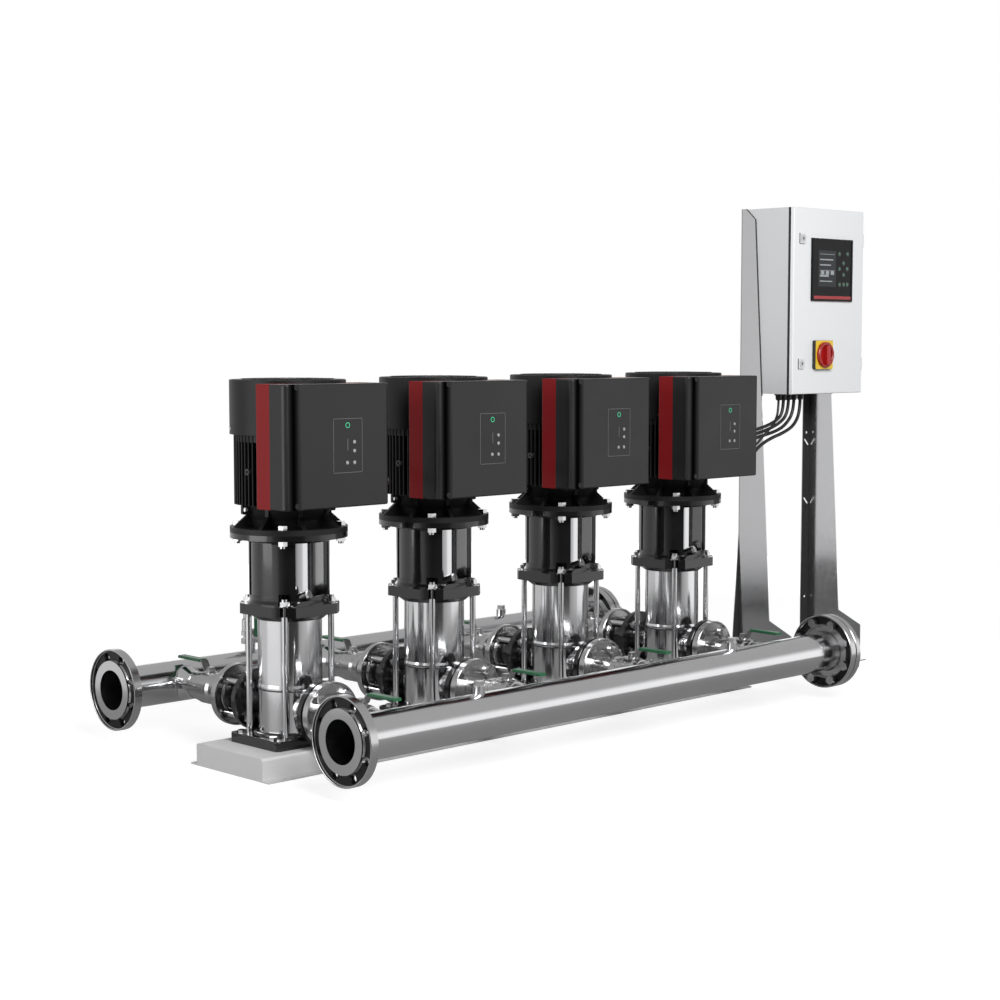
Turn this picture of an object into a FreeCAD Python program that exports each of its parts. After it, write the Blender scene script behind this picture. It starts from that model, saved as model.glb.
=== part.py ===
import FreeCAD, Part
import math
import os

# Booster pump set: four vertical multistage pumps in a row on a folded base, a suction
# manifold at the front (-Y), a discharge manifold at the rear (+Y), a valve with a lever on
# each branch, and a control cabinet on a two-post stand at the right end (+X).
# Millimetres, +Z up. Origin: on the floor, below the middle of the set's outline.

Vector = FreeCAD.Vector
X_AXIS = Vector(1, 0, 0)
Y_AXIS = Vector(0, 1, 0)
Z_AXIS = Vector(0, 0, 1)
ORIGIN = Vector(0, 0, 0)

# Clearances
running_gap = 0.3
seat_gap = 0.1
thread_gap = 0.25

# Row of pumps
pump_count = 4
pump_pitch = 500.0

# Base frame, folded sheet
base_height = 58.0
base_top_width = 276.0
base_overhang = 197.0
base_sheet = 4.0
base_fold_radius = 7.0
base_foot_flange = 25.0
anchor_hole_radius = 6.0
anchor_end_inset = 60.0

# Pump foot casting
foot_length = 244.0
foot_width = 200.0
foot_thickness = 25.0
foot_corner_radius = 14.0
foot_edge_round = 3.0
foot_hub_height = 8.0
foot_bolt_spacing_x = 215.0
foot_bolt_spacing_y = 130.0
foot_bolt_radius = 6.0

# Pump housing with the two ports
port_height = 90.0
port_face = 150.0
pump_radius = 82.5
housing_wall = 3.5
housing_height = 105.0
port_bore_radius = 26.0
port_neck_root_radius = 47.0
port_neck_radius = 37.0
stub_collar_radius = 51.0
stub_collar_thickness = 4.0

# Sleeve and stages
seal_thickness = 2.0
sleeve_length = 193.0
sleeve_wall = 2.5
bead_height = 14.0
bead_bulge = 1.8
stage_count = 3
stage_wall = 3.0
stage_pitch = 52.0
diaphragm_thickness = 4.0
impeller_radius = 58.0
impeller_thickness = 18.0
impeller_eye_radius = 27.0
shaft_radius = 11.0

# Motor stool with the pump head
head_thickness = 27.0
head_corner_radius = 127.0
head_flat_half_width = 109.0
head_lip_height = 13.5
head_lip_radius = 102.0
staybolt_spacing = 149.6
staybolt_radius = 8.0
staybolt_end = 6.0
staybolt_washer_radius = 14.0
staybolt_washer_thickness = 2.5
staybolt_nut_flats = 24.0
staybolt_nut_height = 10.5
staybolt_hole_floor = 6.0
staybolt_end_room = 1.0
nut_pocket_radius = 16.0
nut_pocket_height = 30.0
stool_height = 168.0
stool_radius = 103.0
stool_wall = 10.0
stool_window_half_angle = 29.5
stool_recess_half_angle = 27.0
stool_window_bottom = 22.0
stool_window_top = 9.0
stool_recess_depth = 3.0
guard_sheet = 1.2
guard_overlap = 6.0
guard_radius = 63.0
guard_half_angle = 36.0
guard_tab_angle = 31.0
motor_flange_radius = 150.0
stool_flange_thickness = 14.0
motor_flange_thickness = 14.0
motor_bolt_circle = 265.0
motor_bolt_radius = 7.0
motor_bolt_flats = 22.0
motor_bolt_head_height = 11.0
motor_bolt_nut_height = 12.0
motor_bolt_end = 6.0
vent_boss_radius = 13.0
vent_boss_reach = 15.0
vent_seat_radius = 95.0
vent_seat_angle = 252.0
vent_seat_height = 22.0
vent_dome_radius = 38.0
vent_dome_height = 13.0
vent_plug_flats = 21.0

# Motor
end_shield_height = 57.0
end_shield_radius = 108.0
end_shield_rib_count = 8
end_shield_rib_width = 10.0
end_shield_gusset_height = 30.0
motor_body_height = 160.0
motor_core_radius = 119.0
motor_fin_radius = 131.5
fin_pitch = 13.8
fin_thickness = 4.0
fins_per_side = 11
motor_ring_height = 18.0
motor_ring_radius = 136.0
stator_bore_radius = 61.0
rotor_core_radius = 60.0
motor_shaft_radius = 19.0
lug_width = 12.0
lug_height = 24.0
lug_reach = 21.0
lug_hole_radius = 6.0
lug_turn = 14.0
fin_boss_radius = 9.0
fin_boss_hole = 4.5
fin_boss_height = 75.0

# Fan and its cover
fan_cover_radius = 148.0
fan_cover_edge = 2.0
fan_cover_height = 137.5
fan_cover_wall = 2.0
grille_bar_pitch = 15.0
grille_bar_width = 6.0
grille_bar_height = 2.0
grille_radius = 118.0
fan_radius = 112.0
fan_hub_radius = 30.0
fan_height = 40.0
fan_blade_count = 8
fan_blade_thickness = 4.0

# Drive on the motor's front
drive_half_width = 167.0
drive_height = 307.0
drive_case_back = 84.0
drive_case_front = 141.0
drive_cover_front = 203.0
drive_wall = 4.0
drive_case_round = 6.0
drive_cover_round = 16.0
drive_cover_edge = 4.0
drive_groove_width = 40.0
drive_groove_inset = 9.0
drive_groove_depth = 5.0

# Coupling
coupling_radius = 38.0
coupling_length = 104.0
coupling_split = 3.0
coupling_screw_radius = 5.0

# Branch line of nominal size 50
branch_flange_radius = 82.5
branch_bolt_circle = 125.0
branch_bolt_radius = 8.0
bolt_flats = 24.0
bolt_head_height = 10.0
bolt_nut_height = 13.0
branch_bolt_hole = 9.0
branch_pad_radius = 14.5
port_flange_thickness = 22.0
pressed_flange_depth = 18.0
pressed_pad_depth = 16.0
pressed_floor = 6.0
pressed_lead = 2.0
pressed_sheet = 4.0
pressed_pocket_radius = 12.0
branch_pipe_radius = 30.15
branch_pipe_wall = 2.6
nipple_length = 76.0
check_valve_length = 64.0
check_valve_radius = 54.0
check_disc_radius = 27.5
check_disc_thickness = 5.0
check_stem_radius = 5.0
check_guide_length = 12.0
check_guide_inset = 10.0

# Isolating valve
valve_length = 116.0
valve_end_radius = 38.5
valve_end_length = 20.0
valve_barrel_radius = 43.0
ball_radius = 33.0
ball_bore_radius = 25.0
stem_radius = 8.0
bonnet_radius = 15.0
bonnet_height = 2.0
lever_length = 134.0
lever_width = 22.0
lever_plate = 3.5
lever_rise = 24.0
lever_crank_run = 14.0
lever_grip_thickness = 8.0
lever_hub_radius = 13.0

# Manifolds of nominal size 100
suction_overhang = 199.0
discharge_overhang = 213.0
manifold_spare = 405.0
manifold_radius = 57.15
manifold_wall = 3.0
branch_reach = 99.0
saddle_root_radius = 46.0
saddle_neck_radius = 36.0
saddle_collar_radius = 38.0
saddle_collar_length = 9.0
manifold_flange_radius = 110.0
manifold_collar_radius = 79.0
manifold_collar_thickness = 4.0
manifold_flange_depth = 22.0
manifold_bolt_circle = 180.0
manifold_bolt_count = 8
manifold_bolt_radius = 8.0
manifold_bolt_hole = 9.0
blind_thickness = 22.0
manifold_pad_radius = 15.0
manifold_pad_depth = 18.0
socket_radius = 15.0
socket_height = 20.0
plug_flats = 22.0
plug_height = 12.0

# Transmitter and cock on the discharge manifold
transmitter_offset = -14.0
transmitter_radius = 12.0
transmitter_height = 74.0
cock_radius = 11.0
cock_offset = 18.0
cock_height = 24.0
cock_lever_height = 66.0
cock_lever_width = 18.0
cock_lever_thickness = 4.0

# Control cabinet
cabinet_left = 1971.0
cabinet_width = 380.0
cabinet_height = 600.0
cabinet_depth = 210.0
cabinet_front = -100.0
cabinet_bottom = 912.0
cabinet_sheet = 2.0
door_depth = 13.0
gasket_gap = 3.0
door_edge_round = 3.0
hinge_radius = 5.0
hinge_length = 46.0
hinge_inset = 95.0
lock_column = 47.0
lock_end_inset = 98.5
lock_heights = (lock_end_inset, cabinet_height - lock_end_inset)
lock_insert_radius = 9.0
lock_cam_reach = 34.0
lock_cam_thickness = 2.5
switch_plate_size = 94.0
switch_column = 152.0
switch_row = 127.0
switch_knob_radius = 30.0
switch_knob_depth = 34.0
display_width = 222.0
display_height = 203.0
display_depth = 7.0
display_column = 202.0
display_row = 403.0
gear_plate_inset = 22.0
gear_plate_thickness = 2.5
breaker_width = 45.0
breaker_height = 90.0
breaker_depth = 68.0
breaker_count = 5

# Stand of the cabinet
post_sheet = 3.0
post_rear = 112.0
post_rear_flange = 43.0
post_top_depth = 18.0
post_shoulder_drop = 36.0
post_shoulder_depth = 56.0
post_waist_height = 167.0
post_waist_depth = 132.0
post_toe_height = 125.0
post_toe_depth = 222.0
post_foot_flange = 34.0
post_gusset_height = 458.0
post_anchor_radius = 6.0
post_hole_heights = (771.0, 203.0)
post_hole_radius = 4.5
post_slot_heights = (738.0, 536.0)
post_slot_half_length = 12.0
post_slot_half_width = 3.5
post_slot_slant = 45.0

# Cables, with the hand-chosen points of their routes measured from the first pump's axis
cable_radius = 5.5
signal_cable_radius = 4.0
cable_radii = (4.0, 5.5, 5.5, 5.5, 5.5)
gland_radius = 12.0
gland_length = 22.0
gland_recess = 0.5
clip_room = 5.0
gland_row = -8.0
gland_columns = (2020.0, 2046.0, 2073.0, 2102.0, 2136.0)
drive_gland_y = -112.5
drive_gland_z = 712.0
signal_gland_z = 744.0
clip_levels = (800.0, 787.0, 774.0)
drop_a = [
    (2046, -8, 890), (2044, -8, 850), (2018, -4, 824), (1951, 1, 802), (1862, 29, 785),
    (1768, 78, 782), (1676, 120, 790), (1590, 139, 797), (1500, 141, 800),
]
drop_b = [
    (2073, -8, 890), (2071, -8, 849), (2038, -3, 815), (1951, 5, 787), (1862, 42, 768),
    (1768, 90, 768), (1678, 125, 776), (1592, 140, 783), (1500, 141, 787),
]
drop_c = [
    (2102, -8, 890), (2100, -8, 848), (2062, -5, 808), (2020, -2, 790), (1951, 2, 776),
    (1862, 26, 755), (1768, 74, 751), (1676, 119, 761), (1590, 139, 769), (1500, 141, 774),
]
drop_d = [
    (2136, -8, 890), (2134, -9, 848), (2097, -14, 806), (2035, -19, 784), (1951, -28, 768),
    (1868, -50, 748), (1796, -82, 728), (1729, -112.5, 712), (1689, -112.5, 712),
]
drop_e = [
    (2020, -8, 890), (2018, -9, 856), (1997, -15, 825), (1951, -32, 803), (1898, -52, 789),
    (1846, -74, 774), (1792, -98, 757), (1725, -112.5, 744), (1689, -112.5, 744),
]
span_points = [(-125, 1, -8), (-250, 2, -11), (-375, 1, -8), (-500, 0, 0)]
entry_points = [
    (-62, 141.5, 0.88), (-153, 141, 0.66), (-193, 118, 0.54), (-216, 78, 0.43), (-213, 12, 0.27),
    (-216, -54, 0.13), (-237, -91, 0.04), (-273, -112.5, 0.0), (-311, -112.5, 0.0),
]

# Heights that follow
port_z = base_height + port_height
foot_top = base_height + foot_thickness
housing_bottom = foot_top + foot_hub_height
housing_top = housing_bottom + housing_height
sleeve_bottom = housing_top + seal_thickness
head_bottom = sleeve_bottom + sleeve_length
head_top = head_bottom + head_thickness
stool_top = head_top + stool_height
stool_face = stool_top + stool_flange_thickness
motor_flange_top = stool_face + motor_flange_thickness
body_bottom = motor_flange_top + end_shield_height
body_top = body_bottom + motor_body_height
ring_top = body_top + motor_ring_height
cover_top = ring_top + fan_cover_height

# Places along the branch lines, measured from a pump's axis
suction_valve_near = port_face + nipple_length
discharge_valve_near = port_face + check_valve_length + nipple_length
suction_offset = suction_valve_near + valve_length + branch_reach
discharge_offset = discharge_valve_near + valve_length + branch_reach

# Outline of the whole set, from which the origin follows
row_length = (pump_count - 1) * pump_pitch
manifold_length = row_length + manifold_spare
post_left_outer = cabinet_left - post_sheet
post_right_outer = cabinet_left + cabinet_width + post_sheet
outline_left = -max(base_overhang, suction_overhang, discharge_overhang)
outline_right = post_right_outer + post_foot_flange
outline_front = -suction_offset - manifold_flange_radius
outline_rear = discharge_offset + manifold_flange_radius
origin_shift = Vector(-(outline_left + outline_right) / 2, -(outline_front + outline_rear) / 2, 0)


def pump_x(index):
    return index * pump_pitch


def polar(radius, degrees, height=0.0):
    angle = math.radians(degrees)
    return Vector(radius * math.cos(angle), radius * math.sin(angle), height)


def moved(shape, x=0.0, y=0.0, z=0.0):
    copy = shape.copy()
    copy.translate(Vector(x, y, z))
    return copy


def turned(profile):
    """Solid of revolution about Z from (radius, height) points."""
    points = [Vector(radius, 0, height) for radius, height in profile]
    outline = Part.makePolygon(points + [points[0]])
    return Part.Face(outline).revolve(ORIGIN, Z_AXIS, 360)


def to_y(shape, side=1):
    """Turns a shape built along Z so that it runs along +Y (side 1) or -Y (side -1)."""
    copy = shape.copy()
    copy.rotate(ORIGIN, X_AXIS, -90 * side)
    return copy


def to_x(shape, side=1):
    """Turns a shape built along Z so that it runs along +X (side 1) or -X (side -1)."""
    copy = shape.copy()
    copy.rotate(ORIGIN, Y_AXIS, 90 * side)
    return copy


def cylinder(radius, height, x=0.0, y=0.0, z=0.0):
    return Part.makeCylinder(radius, height, Vector(x, y, z))


def block(x_range, y_range, z_range):
    size = [high - low for low, high in (x_range, y_range, z_range)]
    return Part.makeBox(size[0], size[1], size[2], Vector(x_range[0], y_range[0], z_range[0]))


def plate_from(points, direction):
    outline = Part.makePolygon([Vector(*point) for point in points + [points[0]]])
    return Part.Face(outline).extrude(direction)


def hexagon(flats, height, x=0.0, y=0.0, z=0.0, turn=0.0):
    corner = flats / math.sqrt(3)
    points = [tuple(Vector(x, y, z) + polar(corner, 60 * step + turn)) for step in range(6)]
    return plate_from(points, Vector(0, 0, height))


def ring_of(shape, count, start=0.0):
    """Copies of a shape at equal angles about Z."""
    copies = []
    for step in range(count):
        copy = shape.copy()
        copy.rotate(ORIGIN, Z_AXIS, start + 360.0 / count * step)
        copies.append(copy)
    return copies


def edges_along(shape, axis, test):
    """Straight edges of a shape that run along an axis and whose middle passes a test."""
    chosen = []
    for edge in shape.Edges:
        ends = edge.Vertexes
        if len(ends) != 2:
            continue
        direction = ends[1].Point - ends[0].Point
        if direction.Length < 1e-6 or abs(direction.normalize().dot(axis)) < 0.999:
            continue
        if test(edge.CenterOfMass):
            chosen.append(edge)
    return chosen


def bolt(shank_radius, grip, flats, head_height, nut_height, shank_past=3.0):
    """Hexagon bolt along +Z: head below zero, grip from zero up, nut above it."""
    head = hexagon(flats, head_height, z=-head_height)
    shank = cylinder(shank_radius, grip + nut_height + shank_past)
    nut = hexagon(flats, nut_height, z=grip)
    return head.fuse(shank).fuse(nut).removeSplitter()


def corner_points(spacing_x, spacing_y):
    return [(sx * spacing_x / 2, sy * spacing_y / 2) for sx in (-1, 1) for sy in (-1, 1)]


# Base frame
def base_frame():
    length = row_length + 2 * base_overhang
    left = -base_overhang
    half = base_top_width / 2
    outer = block((left, left + length), (-half, half), (0, base_height))
    long_edges = edges_along(outer, X_AXIS, lambda p: p.z > base_height - 1)
    outer = outer.makeFillet(base_fold_radius, long_edges)
    inner = block(
        (left + base_sheet, left + length - base_sheet),
        (-half + base_sheet, half - base_sheet),
        (-1, base_height - base_sheet),
    )
    inner_edges = edges_along(inner, X_AXIS, lambda p: p.z > base_height - base_sheet - 1)
    inner = inner.makeFillet(base_fold_radius - base_sheet, inner_edges)
    frame = outer.cut(inner)
    for side in (-1, 1):
        near = side * (half - base_sheet)
        far = side * (half + base_foot_flange)
        flange = block((left, left + length), (min(near, far), max(near, far)), (0, base_sheet))
        frame = frame.fuse(flange)
    holes = []
    flange_middle = half + base_foot_flange / 2
    for x in (left + anchor_end_inset, left + length - anchor_end_inset):
        for side in (-1, 1):
            holes.append(cylinder(anchor_hole_radius, 4 * base_sheet, x, side * flange_middle, -base_sheet))
    for index in range(pump_count):
        for x, y in corner_points(foot_bolt_spacing_x, foot_bolt_spacing_y):
            radius = foot_bolt_radius + thread_gap
            low = base_height - 2 * base_sheet
            holes.append(cylinder(radius, 4 * base_sheet, pump_x(index) + x, y, low))
    return frame.cut(holes).removeSplitter()


# Pump foot, housing, sleeve and stages
def foot():
    half_x = foot_length / 2
    half_y = foot_width / 2
    plate = block((-half_x, half_x), (-half_y, half_y), (base_height, foot_top))
    plate = plate.makeFillet(foot_corner_radius, edges_along(plate, Z_AXIS, lambda p: True))
    rim = [edge for edge in plate.Edges if edge.BoundBox.ZMin > foot_top - 0.01]
    plate = plate.makeFillet(foot_edge_round, rim)
    hub = turned([
        (0, foot_top - 1),
        (pump_radius + 14, foot_top - 1),
        (pump_radius + 12, foot_top + foot_hub_height / 2),
        (pump_radius + 4, housing_bottom),
        (0, housing_bottom),
    ])
    hub = hub.common(block((-half_x, half_x), (-half_y + 4, half_y - 4), (base_height, housing_bottom)))
    holes = []
    for x, y in corner_points(foot_bolt_spacing_x, foot_bolt_spacing_y):
        holes.append(cylinder(foot_bolt_radius + thread_gap, 3 * foot_thickness, x, y, base_height - 1))
    for x, y in corner_points(staybolt_spacing, staybolt_spacing):
        low = base_height + staybolt_hole_floor
        holes.append(cylinder(staybolt_radius + thread_gap, foot_thickness, x, y, low))
    return plate.fuse(hub).cut(holes).removeSplitter()


def port_neck():
    """Neck, collar and bore of one port, along +Z from the pump's axis."""
    return turned([
        (0, 20),
        (port_neck_root_radius, 20),
        (port_neck_root_radius, pump_radius - 8),
        (port_neck_radius, port_face - port_flange_thickness - stub_collar_thickness - 8),
        (port_neck_radius, port_face - stub_collar_thickness),
        (stub_collar_radius, port_face - stub_collar_thickness),
        (stub_collar_radius, port_face),
        (0, port_face),
    ])


def pump_housing():
    shell = cylinder(pump_radius, housing_height, z=housing_bottom)
    cavity = cylinder(pump_radius - housing_wall, housing_height, z=housing_bottom + housing_wall * 2)
    necks = [moved(to_y(port_neck(), side), z=port_z) for side in (-1, 1)]
    bore = moved(to_y(cylinder(port_bore_radius, 2 * port_face + 2, z=-port_face - 1)), z=port_z)
    body = shell.fuse(necks)
    return body.cut([cavity, bore]).removeSplitter()


def seal_ring():
    return turned([
        (pump_radius - housing_wall, housing_top),
        (pump_radius + 1.0, housing_top),
        (pump_radius + 1.0, sleeve_bottom),
        (pump_radius - housing_wall, sleeve_bottom),
    ])


def sleeve():
    middle = sleeve_bottom + bead_height / 2
    return turned([
        (pump_radius - sleeve_wall, sleeve_bottom),
        (pump_radius, sleeve_bottom),
        (pump_radius + bead_bulge, sleeve_bottom + 3),
        (pump_radius + bead_bulge, middle),
        (pump_radius, sleeve_bottom + bead_height),
        (pump_radius, head_bottom),
        (pump_radius - sleeve_wall, head_bottom),
    ])


def stage_bottom(index):
    return sleeve_bottom + 18 + index * stage_pitch


def stage_stack():
    """Diffuser stack inside the sleeve, with one diaphragm below each impeller."""
    outer = pump_radius - sleeve_wall - seat_gap
    inner = outer - stage_wall
    top = stage_bottom(stage_count)
    stack = turned([
        (inner, sleeve_bottom + 2),
        (outer, sleeve_bottom + 2),
        (outer, top),
        (inner, top),
    ])
    eye = impeller_eye_radius + running_gap
    for index in range(stage_count):
        stack = stack.fuse(turned([
            (eye, stage_bottom(index)),
            (inner + 1, stage_bottom(index)),
            (inner + 1, stage_bottom(index) + diaphragm_thickness),
            (eye, stage_bottom(index) + diaphragm_thickness),
        ]))
    return stack.removeSplitter()


# Motor stool with the pump head and its lip
def head_plate():
    disc = cylinder(head_corner_radius, head_thickness, z=head_bottom)
    flat = head_flat_half_width
    square = block((-flat, flat), (-flat, flat), (head_bottom - 1, head_top + 1))
    soft_corner = (head_corner_radius - flat) * 1.6
    square = square.makeFillet(soft_corner, edges_along(square, Z_AXIS, lambda p: True))
    return disc.common(square)


def vent_direction():
    return Vector(0.33, -0.86, 0.38).normalize()


def vent_seat():
    return polar(vent_seat_radius, vent_seat_angle, head_top + vent_seat_height)


def vent_dome():
    """Low dome of the casting round the foot of the vent boss, kept on the head's square."""
    dome = turned([
        (0, head_top - 1),
        (vent_dome_radius, head_top - 1),
        (vent_dome_radius, head_top + 2),
        (vent_dome_radius - 8, head_top + vent_dome_height - 3),
        (vent_dome_radius - 16, head_top + vent_dome_height),
        (0, head_top + vent_dome_height),
    ])
    place = vent_seat()
    dome = moved(dome, place.x, place.y)
    flat = head_flat_half_width - 3
    return dome.common(block((-flat, flat), (-flat, flat), (head_top - 1, head_top + vent_seat_height + 1)))


def stool():
    body = head_plate()
    lip = turned([
        (pump_radius + seat_gap, head_bottom - head_lip_height),
        (pump_radius + 5, head_bottom - head_lip_height),
        (head_lip_radius, head_bottom - 2),
        (head_lip_radius, head_bottom + 1),
        (pump_radius + seat_gap, head_bottom + 1),
    ])
    inner_radius = stool_radius - stool_wall
    barrel = turned([
        (inner_radius, head_top - 1),
        (stool_radius + 5, head_top - 1),
        (stool_radius + 5, head_top + 4),
        (stool_radius, head_top + 12),
        (stool_radius, stool_top - 12),
        (stool_radius + 14, stool_top),
        (motor_flange_radius, stool_top),
        (motor_flange_radius, stool_face),
        (inner_radius, stool_face),
    ])
    window_low = head_top + stool_window_bottom
    window_high = stool_top - stool_window_top
    cuts = []
    for facing in (90, 270):
        cuts.append(sector(inner_radius - 2, stool_radius + 6, window_low, window_high, facing,
                           stool_window_half_angle))
    for facing in (0, 180):
        recess_radius = stool_radius - stool_recess_depth
        cuts.append(sector(recess_radius, stool_radius + 6, window_low, window_high, facing,
                           stool_recess_half_angle))
    body = body.fuse([lip, barrel]).cut(cuts)
    dome = vent_dome().cut(cylinder(inner_radius, stool_height, z=head_top))
    body = body.fuse(dome)
    boss_start = vent_seat() - vent_direction() * 26
    boss = Part.makeCylinder(vent_boss_radius, 26 + vent_boss_reach, boss_start, vent_direction())
    boss = boss.cut(cylinder(inner_radius, stool_height, z=head_top))
    body = body.fuse(boss)
    holes = [cylinder(shaft_radius + 12, 3 * head_thickness, z=head_bottom - head_thickness)]
    for x, y in corner_points(staybolt_spacing, staybolt_spacing):
        low = head_bottom - head_lip_height - 1
        holes.append(cylinder(staybolt_radius + 1, head_top + 5 - low, x, y, low))
        slot = block((0, 60), (-staybolt_radius - 1, staybolt_radius + 1), (low, head_top + 5))
        slot.rotate(ORIGIN, Z_AXIS, math.degrees(math.atan2(y, x)))
        slot.translate(Vector(x, y, 0))
        holes.append(slot)
        holes.append(cylinder(nut_pocket_radius, nut_pocket_height, x, y, head_top))
    holes += motor_bolt_holes()
    hole_start = vent_seat() + vent_direction() * (vent_boss_reach - 10)
    vent_hole = Part.makeCylinder(vent_boss_radius - 6, 12, hole_start, vent_direction())
    return body.cut(holes).cut(vent_hole).removeSplitter()


def sector(inner, outer, low, high, facing, half):
    """Ring sector about Z, centred on an angle."""
    profile = Part.makePolygon([
        Vector(inner, 0, low), Vector(outer, 0, low), Vector(outer, 0, high),
        Vector(inner, 0, high), Vector(inner, 0, low),
    ])
    piece = Part.Face(profile).revolve(ORIGIN, Z_AXIS, 2 * half)
    piece.rotate(ORIGIN, Z_AXIS, facing - half)
    return piece


def motor_bolt_places():
    return [tuple(polar(motor_bolt_circle / 2, 45 + 90 * step))[:2] for step in range(4)]


def motor_bolt_holes():
    radius = motor_bolt_radius + thread_gap
    height = stool_flange_thickness + motor_flange_thickness + 40
    return [cylinder(radius, height, x, y, stool_top - 30) for x, y in motor_bolt_places()]


def coupling_guards():
    """Two bent guards in the windows: a round front, a wing at each side and a tab on the stool."""
    outer = stool_radius - stool_wall - seat_gap
    low = head_top + stool_window_bottom - guard_overlap
    high = stool_top - stool_window_top + guard_overlap
    tab_half = (guard_half_angle - guard_tab_angle) / 2
    guards = []
    for facing in (90, 270):
        pieces = [sector(guard_radius - guard_sheet, guard_radius, low, high, facing, guard_half_angle)]
        for side in (-1, 1):
            wing = block((guard_radius - guard_sheet, outer - guard_sheet / 2),
                         (-guard_sheet / 2, guard_sheet / 2), (low, high))
            wing.rotate(ORIGIN, Z_AXIS, facing + side * guard_half_angle)
            tab = sector(outer - guard_sheet, outer, low, high,
                         facing + side * (guard_tab_angle + tab_half), tab_half)
            pieces += [wing, tab]
        guards.append(pieces[0].fuse(pieces[1:]).removeSplitter())
    return guards


def staybolts():
    rods = []
    for x, y in corner_points(staybolt_spacing, staybolt_spacing):
        low = base_height + staybolt_hole_floor + staybolt_end_room
        nut_low = head_top + staybolt_washer_thickness
        rod = cylinder(staybolt_radius, nut_low + staybolt_nut_height + staybolt_end - low, x, y, low)
        washer = cylinder(staybolt_washer_radius, staybolt_washer_thickness, x, y, head_top)
        nut = hexagon(staybolt_nut_flats, staybolt_nut_height, x, y, nut_low)
        rods.append(rod.fuse([washer, nut]).removeSplitter())
    return rods


# Motor
def fin_grooves():
    """Grooves between the parallel fins of the +X side, each down to the round core."""
    grooves = []
    half_groove = (fin_pitch - fin_thickness) / 2
    for step in range(fins_per_side - 1):
        y = (step - (fins_per_side - 2) / 2) * fin_pitch
        floor = math.sqrt(motor_core_radius ** 2 - (abs(y) + half_groove) ** 2)
        grooves.append(block(
            (floor, motor_fin_radius + 1),
            (y - half_groove, y + half_groove),
            (body_bottom, body_top),
        ))
    return grooves


def end_shield_rib():
    low = motor_flange_top
    rib = plate_from(
        [
            (end_shield_radius - 20, -end_shield_rib_width / 2, low),
            (motor_flange_radius - 4, -end_shield_rib_width / 2, low),
            (end_shield_radius + 4, -end_shield_rib_width / 2, low + end_shield_gusset_height),
            (end_shield_radius + 4, -end_shield_rib_width / 2, body_bottom),
            (end_shield_radius - 20, -end_shield_rib_width / 2, body_bottom),
        ],
        Vector(0, end_shield_rib_width, 0),
    )
    return rib


def lifting_lug(turn):
    """Lug with a hole at the top of the bearing bracket."""
    lug = block((end_shield_radius - 12, end_shield_radius + lug_reach), (-lug_width / 2, lug_width / 2),
                (body_bottom - lug_height, body_bottom))
    lug = lug.makeFillet(4, edges_along(lug, Y_AXIS, lambda p: p.x > end_shield_radius))
    hole_x = end_shield_radius + lug_reach / 2 + 2
    hole = Part.makeCylinder(lug_hole_radius, lug_width + 2,
                             Vector(hole_x, -lug_width / 2 - 1, body_bottom - lug_height / 2), Y_AXIS)
    lug = lug.cut(hole)
    lug.rotate(ORIGIN, Z_AXIS, turn)
    return lug


def fin_boss():
    """Round boss with a threaded hole among the fins of the +X side."""
    height = body_bottom + fin_boss_height
    root = motor_core_radius - 4
    boss = to_x(cylinder(fin_boss_radius, motor_fin_radius + 1 - root, z=root))
    hole = to_x(cylinder(fin_boss_hole, 12, z=motor_fin_radius - 9))
    return moved(boss.cut(hole), z=height)


def motor_housing():
    body = turned([
        (0, stool_face),
        (motor_flange_radius, stool_face),
        (motor_flange_radius, motor_flange_top),
        (end_shield_radius - 14, motor_flange_top),
        (end_shield_radius - 10, motor_flange_top + 20),
        (end_shield_radius, body_bottom - 14),
        (end_shield_radius + 6, body_bottom),
        (motor_fin_radius, body_bottom),
        (motor_fin_radius, body_top),
        (motor_ring_radius, body_top),
        (motor_ring_radius, ring_top),
        (0, ring_top),
    ])
    grooves = []
    for turn in (0, 90, 180, 270):
        for groove in fin_grooves():
            groove.rotate(ORIGIN, Z_AXIS, turn)
            grooves.append(groove)
    body = body.cut(grooves)
    ribs = ring_of(end_shield_rib(), end_shield_rib_count, 22.5)
    lugs = []
    for turn in (45, 135, 225, 315):
        lug = block((motor_core_radius, fan_cover_radius - fan_cover_wall - seat_gap - 2),
                    (-7, 7), (ring_top, ring_top + 24))
        lug.rotate(ORIGIN, Z_AXIS, turn)
        lugs.append(lug)
    eyes = [lifting_lug(180 - lug_turn), lifting_lug(-lug_turn)]
    boss_left = fin_boss()
    boss_left.rotate(ORIGIN, Z_AXIS, 180)
    body = body.fuse(ribs + lugs + eyes + [fin_boss(), boss_left])
    inside = turned([
        (0, stool_face - 1),
        (motor_shaft_radius + 20, stool_face - 1),
        (motor_shaft_radius + 20, stool_face + 16),
        (motor_shaft_radius + running_gap, stool_face + 16),
        (motor_shaft_radius + running_gap, body_bottom + 8),
        (stator_bore_radius, body_bottom + 8),
        (stator_bore_radius, body_top - 6),
        (motor_shaft_radius + running_gap, body_top - 6),
        (motor_shaft_radius + running_gap, ring_top + 1),
        (0, ring_top + 1),
    ])
    return body.cut([inside] + motor_bolt_holes()).removeSplitter()


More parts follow.
